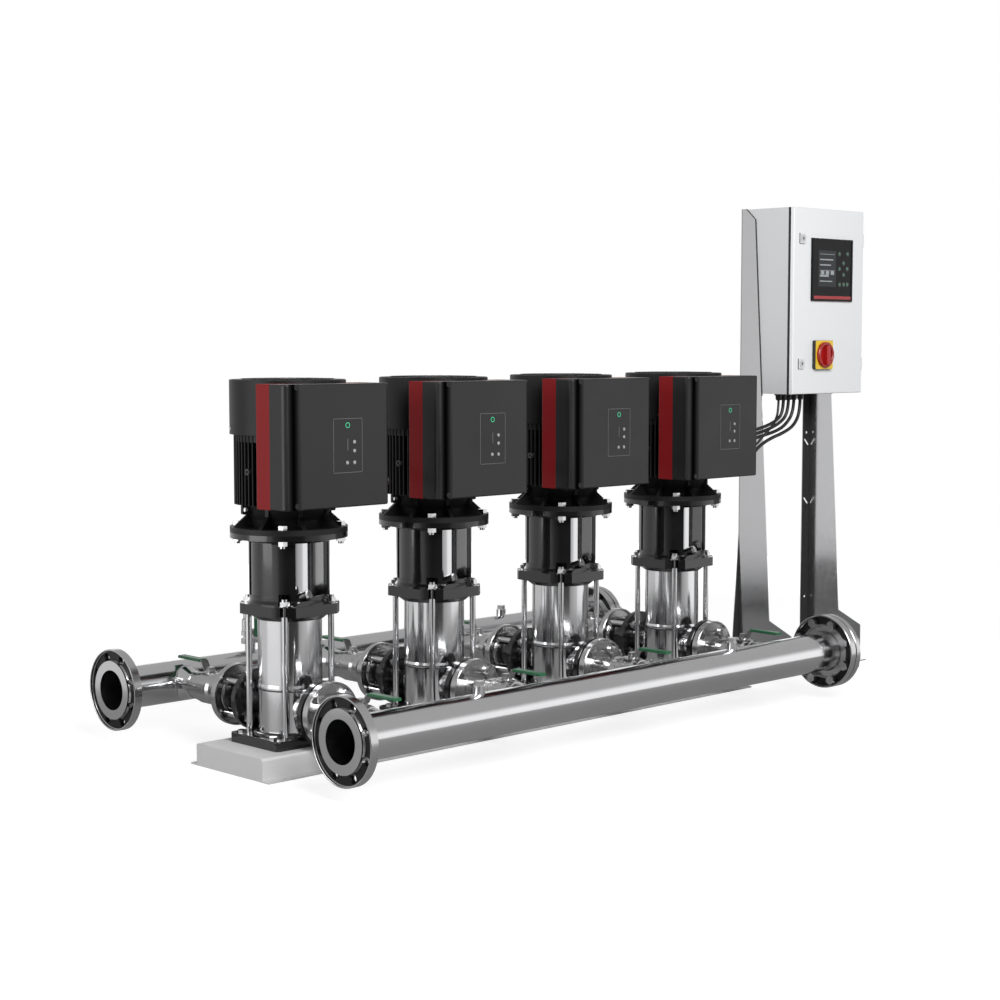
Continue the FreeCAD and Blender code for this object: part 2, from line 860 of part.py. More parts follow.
def fan_cover():
    inner = fan_cover_radius - fan_cover_wall
    shell = turned([
        (inner, ring_top),
        (fan_cover_radius, ring_top),
        (fan_cover_radius, cover_top - fan_cover_edge),
        (fan_cover_radius - fan_cover_edge, cover_top),
        (0, cover_top),
        (0, cover_top - fan_cover_wall),
        (inner - fan_cover_edge, cover_top - fan_cover_wall),
        (inner, cover_top - fan_cover_wall - fan_cover_edge),
    ])
    slots = []
    bars = []
    count = int(grille_radius // grille_bar_pitch)
    for step in range(-count, count + 1):
        x = step * grille_bar_pitch
        reach = math.sqrt(max(grille_radius ** 2 - x ** 2, 1.0))
        bars.append(block((x - grille_bar_width / 2, x + grille_bar_width / 2), (-reach, reach),
                          (cover_top - fan_cover_wall, cover_top + grille_bar_height)))
        if step < count:
            middle = x + grille_bar_pitch / 2
            slot_half = (grille_bar_pitch - grille_bar_width) / 2
            reach = math.sqrt(max(grille_radius ** 2 - max(abs(x), abs(x + grille_bar_pitch)) ** 2, 1.0))
            slots.append(block((middle - slot_half, middle + slot_half), (-reach, reach),
                               (cover_top - fan_cover_wall - 1, cover_top + grille_bar_height + 1)))
    keep = cylinder(24, fan_cover_wall + 2, z=cover_top - fan_cover_wall)
    bars = Part.makeCompound(bars).common(cylinder(grille_radius, 20, z=cover_top - 10))
    return shell.cut(slots).fuse([bars, keep]).removeSplitter()


def drive_box(y_front, y_back):
    return block(
        (-drive_half_width, drive_half_width),
        (-y_front, -y_back),
        (body_bottom, body_bottom + drive_height),
    )


def fan_cover_room():
    return cylinder(fan_cover_radius + running_gap, drive_height, z=ring_top - running_gap)


def drive_case():
    """Rear half of the drive: open at the front and cut to a saddle on the motor."""
    box = drive_box(drive_case_front, drive_case_back)
    box = box.makeFillet(drive_case_round, edges_along(box, Z_AXIS, lambda p: p.y > -drive_case_back - 1))
    saddle = cylinder(motor_fin_radius + seat_gap, motor_body_height, z=body_bottom)
    ring_room = cylinder(motor_ring_radius + seat_gap, motor_ring_height, z=body_top)
    pocket = block(
        (-drive_half_width + drive_wall, drive_half_width - drive_wall),
        (-drive_case_front - 1, -drive_case_back - drive_wall),
        (body_bottom + drive_wall, body_bottom + drive_height - drive_wall),
    )
    pocket = pocket.cut(cylinder(fan_cover_radius + drive_wall, drive_height, z=body_bottom))
    return box.cut([saddle, ring_room, fan_cover_room(), pocket]).removeSplitter()


def groove_low():
    return -drive_half_width + drive_groove_inset


def drive_cover():
    box = drive_box(drive_cover_front, drive_case_front)
    front = -drive_cover_front + 1
    box = box.makeFillet(drive_cover_round, edges_along(box, Z_AXIS, lambda p: p.y < front))
    rim = [edge for edge in box.Edges if edge.BoundBox.YMax < -drive_case_front - 2
           and edge.BoundBox.ZLength < 0.1]
    box = box.makeFillet(drive_cover_edge, rim)
    half_groove = drive_groove_width / 2
    cove = (half_groove ** 2 + drive_groove_depth ** 2) / (2 * drive_groove_depth)
    groove = cylinder(cove, drive_height + 2, groove_low() + half_groove,
                      drive_groove_depth - drive_cover_front - cove, body_bottom - 1)
    wall = drive_wall
    pocket = block(
        (-drive_half_width + wall, drive_half_width - wall),
        (-drive_cover_front + wall + drive_groove_depth, -drive_case_front + 1),
        (body_bottom + wall, body_bottom + drive_height - wall),
    )
    pocket = pocket.makeFillet(drive_cover_round - wall, edges_along(
        pocket, Z_AXIS, lambda p: p.y < -drive_case_front - 10))
    pocket = pocket.cut(cylinder(fan_cover_radius + wall, drive_height, z=body_bottom))
    return box.cut([groove, pocket, fan_cover_room()]).removeSplitter()


# Rotor
def impeller(index):
    """Closed impeller with an eye at its underside and curved vanes between two shrouds."""
    low = stage_bottom(index) + diaphragm_thickness + 6
    hub = turned([
        (shaft_radius, low),
        (shaft_radius + 7, low),
        (shaft_radius + 9, low + impeller_thickness - 3),
        (impeller_radius, low + impeller_thickness - 3),
        (impeller_radius, low + impeller_thickness),
        (shaft_radius, low + impeller_thickness),
    ])
    shroud = turned([
        (impeller_eye_radius - 3, low - 9),
        (impeller_eye_radius, low - 9),
        (impeller_eye_radius, low),
        (impeller_radius, low + 4),
        (impeller_radius, low + 7),
        (impeller_eye_radius - 3, low + 3),
    ])
    vanes = []
    for step in range(6):
        start = polar(shaft_radius + 8, 60 * step)
        middle = polar((shaft_radius + impeller_radius) / 2 + 4, 60 * step + 24)
        end = polar(impeller_radius - 0.5, 60 * step + 62)
        line = Part.Arc(start, middle, end).toShape()
        vane = line.extrude(Vector(0, 0, impeller_thickness - 5))
        vane = vane.makeOffsetShape(2.0, 0.01, fill=True)
        vanes.append(moved(vane, z=low + 3.5))
    return hub.fuse([shroud] + vanes)


def rotor_shaft():
    low = housing_bottom + 20
    coupling_low = head_top + (stool_height - coupling_length) / 2
    joint = coupling_low + coupling_length / 2
    fan_seat = ring_top + 30
    shaft = turned([
        (0, low),
        (shaft_radius, low),
        (shaft_radius, joint),
        (motor_shaft_radius, joint),
        (motor_shaft_radius, body_bottom + 14),
        (rotor_core_radius, body_bottom + 14),
        (rotor_core_radius, body_top - 12),
        (motor_shaft_radius, body_top - 12),
        (motor_shaft_radius, fan_seat),
        (motor_shaft_radius - 6, fan_seat),
        (motor_shaft_radius - 6, fan_seat + fan_height + 6),
        (0, fan_seat + fan_height + 6),
    ])
    wheels = [impeller(index) for index in range(stage_count)]
    return shaft.fuse(wheels).removeSplitter()


def coupling_halves():
    low = head_top + (stool_height - coupling_length) / 2
    joint = low + coupling_length / 2
    body = cylinder(coupling_radius, coupling_length, z=low)
    bore = cylinder(shaft_radius + seat_gap, joint - low + 1, z=low - 1)
    wide_bore = cylinder(motor_shaft_radius + seat_gap, joint - low + 1, z=joint - seat_gap)
    split = block((-coupling_radius - 1, coupling_radius + 1), (-coupling_split / 2, coupling_split / 2),
                  (low - 1, low + coupling_length + 1))
    body = body.cut([bore, wide_bore, split])
    screws = []
    for z in (low + 18, low + coupling_length - 18):
        for x in (-28, 28):
            screw = cylinder(coupling_screw_radius, 2 * 24, z=-24)
            screws.append(moved(to_y(screw), x=x, z=z))
    halves = body.cut(screws)
    return halves.Solids + screws


def fan():
    low = ring_top + 30
    hub = turned([
        (motor_shaft_radius - 6 + seat_gap, low),
        (fan_hub_radius, low),
        (fan_hub_radius - 4, low + fan_height),
        (motor_shaft_radius - 6 + seat_gap, low + fan_height),
    ])
    disc = turned([
        (fan_hub_radius - 3, low),
        (fan_radius, low),
        (fan_radius, low + 3),
        (fan_hub_radius - 3, low + 3),
    ])
    blade = block((fan_hub_radius - 4, fan_radius), (-fan_blade_thickness / 2, fan_blade_thickness / 2),
                  (low + 2, low + fan_height))
    return hub.fuse([disc] + ring_of(blade, fan_blade_count)).removeSplitter()


def rotor():
    return [rotor_shaft()] + coupling_halves() + [fan()]


# Pieces of the branch lines, built along +Z from the pump's axis
def bolt_ring_holes(radius, circle, count, low, high):
    return [cylinder(radius, high - low, *tuple(polar(circle / 2, 360 / count * (step + 0.5)))[:2], low)
            for step in range(count)]


def port_flange():
    low = port_face - stub_collar_thickness - port_flange_thickness
    high = port_face - stub_collar_thickness
    ring = turned([
        (port_neck_radius + seat_gap, low),
        (port_neck_radius + 14, low),
        (branch_flange_radius - 4, low + 4),
        (branch_flange_radius, low + 6),
        (branch_flange_radius, high - 1),
        (branch_flange_radius - 1, high),
        (port_neck_radius + seat_gap, high),
    ])
    return ring.cut(bolt_ring_holes(branch_bolt_hole, branch_bolt_circle, 4, low - 1, high + 1))


def pressed_flange(outer, bore, depth, sheet, collar, pad, circle, count, hole):
    """Loose flange pressed from sheet, with its mating side towards -Z: a seat behind the stub
    collar at zero, a sunk floor inside a tall rim, and at each bolt hole a pocket in the mating
    side whose pad stands up at the back."""
    pad_radius, pad_depth = pad
    floor = pressed_floor
    tray = turned([
        (bore, seat_gap),
        (collar + 0.5, seat_gap),
        (collar + 2.5, floor - 1.5),
        (collar + 4, floor),
        (outer - sheet - 2, floor),
        (outer - sheet, floor - 2),
        (outer - sheet, 0.5 - pressed_lead),
        (outer - sheet + 1, -pressed_lead),
        (outer - 1, -pressed_lead),
        (outer, 1 - pressed_lead),
        (outer, depth - 1),
        (outer - 1, depth),
        (outer - sheet + 1, depth),
        (outer - sheet, depth - 1),
        (outer - sheet, floor + sheet + 2),
        (outer - sheet - 2, floor + sheet),
        (collar + 2, floor + sheet),
        (collar, floor + sheet - 1.5),
        (collar - 2, sheet + seat_gap),
        (bore, sheet + seat_gap),
    ])
    pads = []
    pockets = []
    for step in range(count):
        x, y, _ = polar(circle / 2, 360 / count * (step + 0.5))
        pads.append(cylinder(pad_radius, pad_depth - floor, x, y, floor))
        pocket_depth = pad_depth - sheet + pressed_lead
        pockets.append(cylinder(pressed_pocket_radius, pocket_depth, x, y, -pressed_lead))
    inner_guard = cylinder(collar, sheet + 1, z=-pressed_lead)
    pockets = [pocket.cut(inner_guard) for pocket in pockets]
    body = tray.fuse(pads).cut(pockets)
    return body.cut(bolt_ring_holes(hole, circle, count, -depth, 2 * depth)).removeSplitter()


def counter_flange(face):
    piece = pressed_flange(
        branch_flange_radius, branch_pipe_radius + 1, pressed_flange_depth, pressed_sheet,
        stub_collar_radius, (branch_pad_radius, pressed_pad_depth), branch_bolt_circle, 4,
        branch_bolt_hole)
    return moved(piece, z=face + stub_collar_thickness)


def nipple(face):
    """Stub collar with its pipe, from the flange face to the valve."""
    bore = branch_pipe_radius - branch_pipe_wall
    return turned([
        (bore, face),
        (stub_collar_radius, face),
        (stub_collar_radius, face + stub_collar_thickness),
        (branch_pipe_radius, face + stub_collar_thickness),
        (branch_pipe_radius, face + nipple_length),
        (bore, face + nipple_length),
    ])


def check_valve_body():
    low = port_face
    high = port_face + check_valve_length
    seat = low + 16
    return turned([
        (port_bore_radius, low),
        (check_valve_radius, low),
        (check_valve_radius, high),
        (port_bore_radius + 8, high),
        (port_bore_radius + 8, high - 6),
        (check_disc_radius + 6, seat + 8),
        (check_disc_radius + 6, seat),
        (check_disc_radius - 3.5, seat),
        (port_bore_radius - 2, low + 6),
    ]).fuse(check_guide(high))


def check_guide(high):
    """Spider that guides the disc's stem at the outlet side."""
    top = high - check_guide_inset
    low = top - check_guide_length
    hub = turned([
        (check_stem_radius + seat_gap, low),
        (check_stem_radius + 5, low),
        (check_stem_radius + 5, top),
        (check_stem_radius + seat_gap, top),
    ])
    arm = block((check_stem_radius + 2, port_bore_radius + 12), (-2, 2), (low + 3, top - 3))
    return hub.fuse(ring_of(arm, 3))


def check_disc():
    seat = port_face + 16 + seat_gap
    tail = port_face + check_valve_length - check_guide_inset - 4
    return turned([
        (0, seat - 4),
        (check_disc_radius - 6, seat - 4),
        (check_disc_radius - 4, seat),
        (check_disc_radius, seat),
        (check_disc_radius, seat + check_disc_thickness),
        (check_stem_radius, seat + check_disc_thickness + 3),
        (check_stem_radius, tail),
        (0, tail),
    ])


def valve_centre(near):
    return near + valve_length / 2


def valve_body(near):
    """Two-piece ball valve along +Z, bonnet towards +X of this local frame."""
    far = near + valve_length
    middle = valve_centre(near)
    shell = turned([
        (ball_bore_radius, near),
        (valve_end_radius, near),
        (valve_end_radius, near + valve_end_length),
        (valve_barrel_radius, near + valve_end_length + 8),
        (valve_barrel_radius, middle + 18),
        (valve_end_radius + 1, middle + 24),
        (valve_end_radius + 1, far - valve_end_length),
        (valve_end_radius - 2, far - valve_end_length + 1),
        (valve_end_radius - 2, far),
        (ball_bore_radius, far),
    ])
    cavity = Part.makeSphere(ball_radius + running_gap, Vector(0, 0, middle))
    bonnet = moved(to_x(cylinder(bonnet_radius, bonnet_height + 10, z=valve_barrel_radius - 10)), z=middle)
    stem_hole = moved(to_x(cylinder(stem_radius + running_gap, 80)), z=middle)
    return shell.fuse(bonnet).cut([cavity, stem_hole]).removeSplitter()


def lever(near):
    """Ball, stem, cranked lever plate and grip, in the local frame of the valve body."""
    middle = valve_centre(near)
    top = valve_barrel_radius + bonnet_height + running_gap
    ball = Part.makeSphere(ball_radius, Vector(0, 0, middle))
    ball = ball.cut(cylinder(ball_bore_radius, 4 * ball_radius, z=middle - 2 * ball_radius))
    stem_low = ball_bore_radius + 4
    stem = moved(to_x(cylinder(stem_radius, top + 12 - stem_low, z=stem_low)), z=middle)
    ball = ball.fuse(stem).removeSplitter()
    hub = moved(to_x(cylinder(lever_hub_radius, lever_plate, z=top)), z=middle)
    half = lever_width / 2
    crank_start = middle + lever_hub_radius + 2
    crank_end = crank_start + lever_crank_run
    end = middle + lever_length
    rise = top + lever_rise
    plate = plate_from(
        [
            (top, -half, middle),
            (top + lever_plate, -half, middle),
            (top + lever_plate, -half, crank_start - 1),
            (rise + lever_plate, -half, crank_end - 1),
            (rise + lever_plate, -half, end - 6),
            (rise, -half, end - 6),
            (rise, -half, crank_end),
            (top, -half, crank_start),
        ],
        Vector(0, lever_width, 0),
    )
    plate = plate.fuse(hub).cut(moved(to_x(cylinder(stem_radius + seat_gap, 100)), z=middle))
    nut = to_x(hexagon(20, 8))
    nut = nut.cut(to_x(cylinder(stem_radius + seat_gap, 20, z=-5)))
    nut = moved(nut, x=top + lever_plate, z=middle)
    grip_low = crank_end + 6
    centre = rise + lever_plate / 2
    grip = block(
        (centre - lever_grip_thickness / 2, centre + lever_grip_thickness / 2),
        (-half - 2, half + 2),
        (grip_low, end),
    )
    grip = grip.makeFillet(lever_grip_thickness * 0.45, edges_along(grip, Z_AXIS, lambda p: True))
    room = block((rise, rise + lever_plate), (-half, half), (grip_low - 1, end - 6))
    return [ball, plate.removeSplitter(), nut, grip.cut(room)]


def branch_place(shape, side, index):
    """Lays a branch piece, built along +Z with its top at +X, along +Y or -Y of a pump."""
    turn = FreeCAD.Rotation(Z_AXIS, X_AXIS * side, Y_AXIS * side)
    copy = shape.copy()
    place = FreeCAD.Placement(Vector(pump_x(index), 0, port_z), turn)
    copy.Placement = place.multiply(copy.Placement)
    return copy


def branch_bolts(counter_face):
    """Four bolts from the port flange's back to the counter flange's back."""
    low = port_face - stub_collar_thickness - port_flange_thickness
    high = counter_face + stub_collar_thickness + pressed_pad_depth
    piece = bolt(branch_bolt_radius, high - low, bolt_flats, bolt_head_height, bolt_nut_height)
    bolts = []
    for step in range(4):
        x, y, _ = polar(branch_bolt_circle / 2, 90 * (step + 0.5))
        flipped = piece.copy()
        flipped.rotate(ORIGIN, X_AXIS, 180)
        bolts.append(moved(flipped, x, y, high))
    return bolts


# Manifolds, built along +X
def manifold_left(side):
    return -suction_overhang if side < 0 else -discharge_overhang


def branch_neck(side, index):
    """Neck welded on the header for one branch, along the way to its valve."""
    neck = turned([
        (0, 10),
        (saddle_root_radius, 10),
        (saddle_root_radius, manifold_radius - 12),
        (saddle_neck_radius, manifold_radius + 16),
        (saddle_neck_radius - 3, branch_reach - saddle_collar_length),
        (saddle_collar_radius, branch_reach - saddle_collar_length),
        (saddle_collar_radius, branch_reach),
        (0, branch_reach),
    ])
    neck = moved(to_y(neck, -side), x=pump_x(index))
    header = to_x(cylinder(manifold_radius, manifold_length + 2, z=manifold_left(side) - 1))
    branch = moved(to_y(branch_bore(), -side), x=pump_x(index))
    return neck.cut([header, branch])


def branch_bore():
    return cylinder(branch_pipe_radius - branch_pipe_wall, branch_reach + 1)


def socket(x):
    header = moved(to_x(cylinder(manifold_radius, 4 * socket_radius)), x=x - 2 * socket_radius)
    wall = cylinder(socket_radius, socket_height + 10, x, 0, manifold_radius - 10)
    hole = cylinder(socket_radius - 5, socket_height + 30, x, 0, manifold_radius - 20)
    return wall.cut([header, hole])


def header_pipe(side):
    """Header pipe with a stub collar at each end and a hole below each neck and socket."""
    left = manifold_left(side)
    right = left + manifold_length
    collar_foot = manifold_collar_thickness + 6
    outer = to_x(turned([
        (0, left),
        (manifold_collar_radius, left),
        (manifold_collar_radius, left + manifold_collar_thickness),
        (manifold_radius + 3, left + manifold_collar_thickness),
        (manifold_radius, left + collar_foot),
        (manifold_radius, right - collar_foot),
        (manifold_radius + 3, right - manifold_collar_thickness),
        (manifold_collar_radius, right - manifold_collar_thickness),
        (manifold_collar_radius, right),
        (0, right),
    ]))
    holes = [to_x(cylinder(manifold_radius - manifold_wall, manifold_length + 2, z=left - 1))]
    for index in range(pump_count):
        holes.append(moved(to_y(branch_bore(), -side), x=pump_x(index)))
    for x in socket_places():
        holes.append(cylinder(socket_radius - 5, socket_height + 30, x, 0, manifold_radius - 20))
    return outer.cut(holes)


def manifold(side, offset):
    pieces = [header_pipe(side)]
    pieces += [branch_neck(side, index) for index in range(pump_count)]
    pieces += [socket(x) for x in socket_places()]
    return [moved(piece, y=side * offset, z=port_z) for piece in pieces]


def socket_places():
    first = pump_pitch / 2
    return [first, first + 2 * pump_pitch]


def manifold_flanges():
    """A loose pressed flange at each end and a blind cover at each right end."""
    flange = pressed_flange(
        manifold_flange_radius, manifold_radius + 3.5, manifold_flange_depth, pressed_sheet,
        manifold_collar_radius, (manifold_pad_radius, manifold_pad_depth), manifold_bolt_circle,
        manifold_bolt_count, manifold_bolt_hole)
    blind = turned([
        (0, 0),
        (manifold_collar_radius, 0),
        (manifold_collar_radius, 2),
        (manifold_flange_radius - 1, 2),
        (manifold_flange_radius, 3),
        (manifold_flange_radius, blind_thickness - 2),
        (manifold_flange_radius - 2, blind_thickness),
        (0, blind_thickness),
    ])
    blind = blind.cut(bolt_ring_holes(
        manifold_bolt_hole, manifold_bolt_circle, manifold_bolt_count, -1, blind_thickness + 1))
    flanges = []
    blinds = []
    for side, offset in ((-1, suction_offset), (1, discharge_offset)):
        left = manifold_left(side)
        right = left + manifold_length
        near = to_x(flange)
        near.translate(Vector(left + manifold_collar_thickness, side * offset, port_z))
        far = to_x(flange, -1)
        far.translate(Vector(right - manifold_collar_thickness, side * offset, port_z))
        flanges += [near, far]
        cover = to_x(blind)
        cover.translate(Vector(right, side * offset, port_z))
        blinds.append(cover)
    return flanges, blinds


def manifold_bolts():
    grip = manifold_pad_depth + manifold_collar_thickness + blind_thickness
    piece = bolt(manifold_bolt_radius, grip, bolt_flats, bolt_head_height, bolt_nut_height)
    bolts = []
    for side, offset in ((-1, suction_offset), (1, discharge_offset)):
        low = manifold_left(side) + manifold_length + blind_thickness - grip
        for step in range(manifold_bolt_count):
            angle = 360 / manifold_bolt_count * (step + 0.5)
            one = moved(piece, *tuple(polar(manifold_bolt_circle / 2, angle)))
            one = to_x(one)
            one.translate(Vector(low, side * offset, port_z))
            bolts.append(one)
    return bolts


def manifold_plug(x, side, offset):
    top = port_z + manifold_radius + socket_height
    body = cylinder(socket_radius - 5 - seat_gap, 12, x, side * offset, top - 12)
    head = hexagon(plug_flats, plug_height, x, side * offset, top)
    return body.fuse(head).removeSplitter()


# Transmitter and cock on the discharge manifold
def gauge_parts():
    """Tee on the first socket, the pressure transmitter and the body of the cock."""
    x = socket_places()[0]
    top = port_z + manifold_radius + socket_height
    y = discharge_offset
    stalk = cylinder(socket_radius - 5 - seat_gap, 12, x, y, top - 12)
    tee = block((x + transmitter_offset - 12, x + cock_offset + 8), (y - 10, y + 10), (top, top + 16))
    tee = tee.makeFillet(3, edges_along(tee, Z_AXIS, lambda p: True))
    sensor = turned([
        (0, 0), (8, 0), (8, 8), (transmitter_radius + 1.5, 8), (transmitter_radius + 1.5, 20),
        (transmitter_radius, 22), (transmitter_radius, transmitter_height - 22),
        (transmitter_radius - 4, transmitter_height - 16), (transmitter_radius - 4, transmitter_height),
        (0, transmitter_height),
    ])
    sensor = moved(sensor, x + transmitter_offset, y, top + 16)
    cock = cylinder(cock_radius, cock_height, x + cock_offset - 3, y, top + 16)
    spindle_hole = cock_pivot()
    hole = moved(to_y(cylinder(4 + running_gap, 30)), spindle_hole.x, spindle_hole.y - 12, spindle_hole.z)
    cock = cock.cut(hole)
    return [stalk.fuse(tee).removeSplitter(), sensor, cock]


def cock_pivot():
    x = socket_places()[0] + cock_offset - 3
    z = port_z + manifold_radius + socket_height + 16 + cock_height / 2
    return Vector(x, discharge_offset - cock_radius - running_gap, z)


def cock_lever():
    """Spindle and upright handle of the cock, on its front."""
    pivot = cock_pivot()
    low = pivot.z - 9
    handle = block(
        (pivot.x - cock_lever_width / 2, pivot.x + cock_lever_width / 2),
        (pivot.y - cock_lever_thickness, pivot.y),
        (low, low + cock_lever_height),
    )
    handle = handle.makeFillet(7, edges_along(handle, Y_AXIS, lambda p: True))
    spindle = moved(to_y(cylinder(4, 12)), pivot.x, pivot.y - 1, pivot.z)
    return handle.fuse(spindle).removeSplitter()


# Control cabinet
def cabinet_right():
    return cabinet_left + cabinet_width


def cabinet_top():
    return cabinet_bottom + cabinet_height


def cabinet_back():
    return cabinet_front + cabinet_depth


def body_front():
    return cabinet_front + door_depth + gasket_gap


def cabinet_body():
    outer = block(
        (cabinet_left, cabinet_right()),
        (body_front(), cabinet_back()),
        (cabinet_bottom, cabinet_top()),
    )
    outer = outer.makeFillet(door_edge_round, edges_along(outer, Z_AXIS, lambda p: p.y > 0))
    sheet = cabinet_sheet
    inner = block(
        (cabinet_left + sheet, cabinet_right() - sheet),
        (body_front() - 1, cabinet_back() - sheet),
        (cabinet_bottom + sheet, cabinet_top() - sheet),
    )
    gutter = 16.0
    lip_outer = block(
        (cabinet_left + sheet / 2, cabinet_right() - sheet / 2),
        (body_front(), body_front() + sheet),
        (cabinet_bottom + sheet / 2, cabinet_top() - sheet / 2),
    )
    lip_inner = block(
        (cabinet_left + gutter, cabinet_right() - gutter),
        (body_front() - 1, body_front() + sheet + 1),
        (cabinet_bottom + gutter, cabinet_top() - gutter),
    )
    holes = []
    for x, radius in gland_places():
        holes.append(cylinder(radius, 3 * sheet, x, gland_row, cabinet_bottom - sheet))
    return outer.cut(inner).fuse(lip_outer.cut(lip_inner)).cut(holes).removeSplitter()


def gasket():
    """Sealing strip on the door's rim, which closes against the lip of the body."""
    rim = cabinet_sheet / 2
    depth = (body_front() - gasket_gap, body_front() - running_gap)
    ring = block(
        (cabinet_left + rim, cabinet_right() - rim), depth,
        (cabinet_bottom + rim, cabinet_top() - rim),
    )
    room = block(
        (cabinet_left + 12, cabinet_right() - 12),
        (body_front() - gasket_gap - 1, body_front() + 1),
        (cabinet_bottom + 12, cabinet_top() - 12),
    )
    return ring.cut(room)


def hinge_axis():
    return Vector(cabinet_right() + hinge_radius + 0.5, body_front() - gasket_gap / 2 - 4, 0)


def hinge_heights():
    return [cabinet_bottom + hinge_inset, cabinet_top() - hinge_inset]


def hinge_knuckle(height, part):
    """One knuckle of a hinge: the door carries the middle, the body the two ends."""
    pivot = hinge_axis()
    third = hinge_length / 3
    low = height - hinge_length / 2 + third * part
    knuckle = cylinder(hinge_radius, third - running_gap, pivot.x, pivot.y, low)
    return knuckle


def body_hinges():
    pieces = []
    pivot = hinge_axis()
    pin_radius = hinge_radius / 2
    for height in hinge_heights():
        low = height - hinge_length / 2
        pin = cylinder(pin_radius, hinge_length - running_gap, pivot.x, pivot.y, low)
        ends = [hinge_knuckle(height, 0), hinge_knuckle(height, 2)]
        tongues = []
        for part in (0, 2):
            z = low + hinge_length / 3 * part
            height_range = (z, z + hinge_length / 3 - running_gap)
            near = cabinet_right() + running_gap
            tongues.append(block((near, pivot.x), (pivot.y, body_front()), height_range))
            leaf_depth = (body_front(), body_front() + 16)
            tongues.append(block((cabinet_right(), pivot.x), leaf_depth, height_range))
        tongue_room = cylinder(pin_radius + 0.05, hinge_length, pivot.x, pivot.y, low)
        body = pin.fuse(ends + [tongue.cut(tongue_room) for tongue in tongues])
        keep = block((cabinet_right(), pivot.x + hinge_radius + 1), (pivot.y - 20, body_front() + 20),
                     (low - 1, low + hinge_length + 1))
        pieces.append(body.common(keep).removeSplitter())
    return pieces


def door_shell():
    outer = block((cabinet_left, cabinet_right()), (cabinet_front, cabinet_front + door_depth),
                  (cabinet_bottom, cabinet_top()))
    front_edges = [edge for edge in outer.Edges if edge.BoundBox.YMax < cabinet_front + 0.01]
    outer = outer.makeFillet(door_edge_round, front_edges)
    sheet = cabinet_sheet
    inner = block(
        (cabinet_left + sheet, cabinet_right() - sheet),
        (cabinet_front + sheet, cabinet_front + door_depth + 1),
        (cabinet_bottom + sheet, cabinet_top() - sheet),
    )
    door = outer.cut(inner)
    pivot = hinge_axis()
    for height in hinge_heights():
        low = height - hinge_length / 6
        knuckle = hinge_knuckle(height, 1)
        arm = block((cabinet_right() - 1, pivot.x), (cabinet_front + 1, pivot.y),
                    (low, low + hinge_length / 3 - running_gap))
        door = door.fuse([knuckle, arm])
        low = height - hinge_length / 2
        door = door.cut(cylinder(hinge_radius / 2 + 0.05, hinge_length, pivot.x, pivot.y, low))
    holes = []
    for height in lock_heights:
        hole = to_y(cylinder(lock_insert_radius + running_gap, 30, z=-10))
        holes.append(moved(hole, cabinet_left + lock_column, cabinet_front, cabinet_bottom + height))
    hole = to_y(cylinder(6 + running_gap, 30, z=-10))
    holes.append(moved(hole, cabinet_left + switch_column, cabinet_front, cabinet_bottom + switch_row))
    return door.cut(holes).removeSplitter()


def lock(height):
    """Quarter-turn lock, shown open: its cam stands upright and turns behind the body's lip."""
    behind_lip = door_depth + gasket_gap + cabinet_sheet + running_gap
    insert = cylinder(lock_insert_radius, behind_lip + lock_cam_thickness + 3, z=-3)
    slot = block((-6, 6), (-1.5, 1.5), (-4, -0.5))
    head = cylinder(lock_insert_radius + 3, 3 - running_gap, z=-3)
    cam = block(
        (-8, 8),
        (-lock_insert_radius, lock_cam_reach),
        (behind_lip, behind_lip + lock_cam_thickness),
    )
    piece = insert.fuse([head, cam]).cut(slot)
    piece = to_y(piece)
    return moved(piece, cabinet_left + lock_column, cabinet_front, cabinet_bottom + height).removeSplitter()


def operator_panels():
    """Display housing and the switch's square plate, both flat on the door."""
    x = cabinet_left + display_column
    z = cabinet_bottom + display_row
    bezel = block(
        (x - display_width / 2, x + display_width / 2),
        (cabinet_front - display_depth, cabinet_front),
        (z - display_height / 2, z + display_height / 2),
    )
    front = [edge for edge in bezel.Edges if edge.BoundBox.YMax < cabinet_front - display_depth + 0.01]
    bezel = bezel.makeFillet(2.0, front)
    face = block(
        (x - display_width / 2 + 9, x + display_width / 2 - 9),
        (cabinet_front - display_depth - 1, cabinet_front - display_depth + 1.5),
        (z - display_height / 2 + 7, z + display_height / 2 - 7),
    )
    half = switch_plate_size / 2
    sx = cabinet_left + switch_column
    sz = cabinet_bottom + switch_row
    plate = block((sx - half, sx + half), (cabinet_front - 3, cabinet_front), (sz - half, sz + half))
    plate = plate.makeFillet(6, edges_along(plate, Y_AXIS, lambda p: True))
    hole = moved(to_y(cylinder(6 + running_gap, 30, z=-15)), sx, cabinet_front, sz)
    return [bezel.cut(face), plate.cut(hole)]


def main_switch():
    """Rotary handle with a grip bar, its shaft reaching through the door."""
    sx = cabinet_left + switch_column
    sz = cabinet_bottom + switch_row
    knob = turned([
        (0, 3.3),
        (switch_knob_radius, 3.3),
        (switch_knob_radius, 12),
        (switch_knob_radius - 3, 15),
        (0, 15),
    ])
    bar = block((-9, 9), (-switch_knob_radius - 4, switch_knob_radius), (14, switch_knob_depth))
    bar = bar.makeFillet(6, edges_along(bar, Z_AXIS, lambda p: True))
    top = [edge for edge in bar.Edges if edge.BoundBox.ZMin > switch_knob_depth - 0.01]
    bar = bar.makeFillet(3, top)
    shaft = cylinder(6, 34, z=-30)
    piece = knob.fuse([bar, shaft]).removeSplitter()
    piece = to_y(piece, -1)
    return moved(piece, sx, cabinet_front, sz)


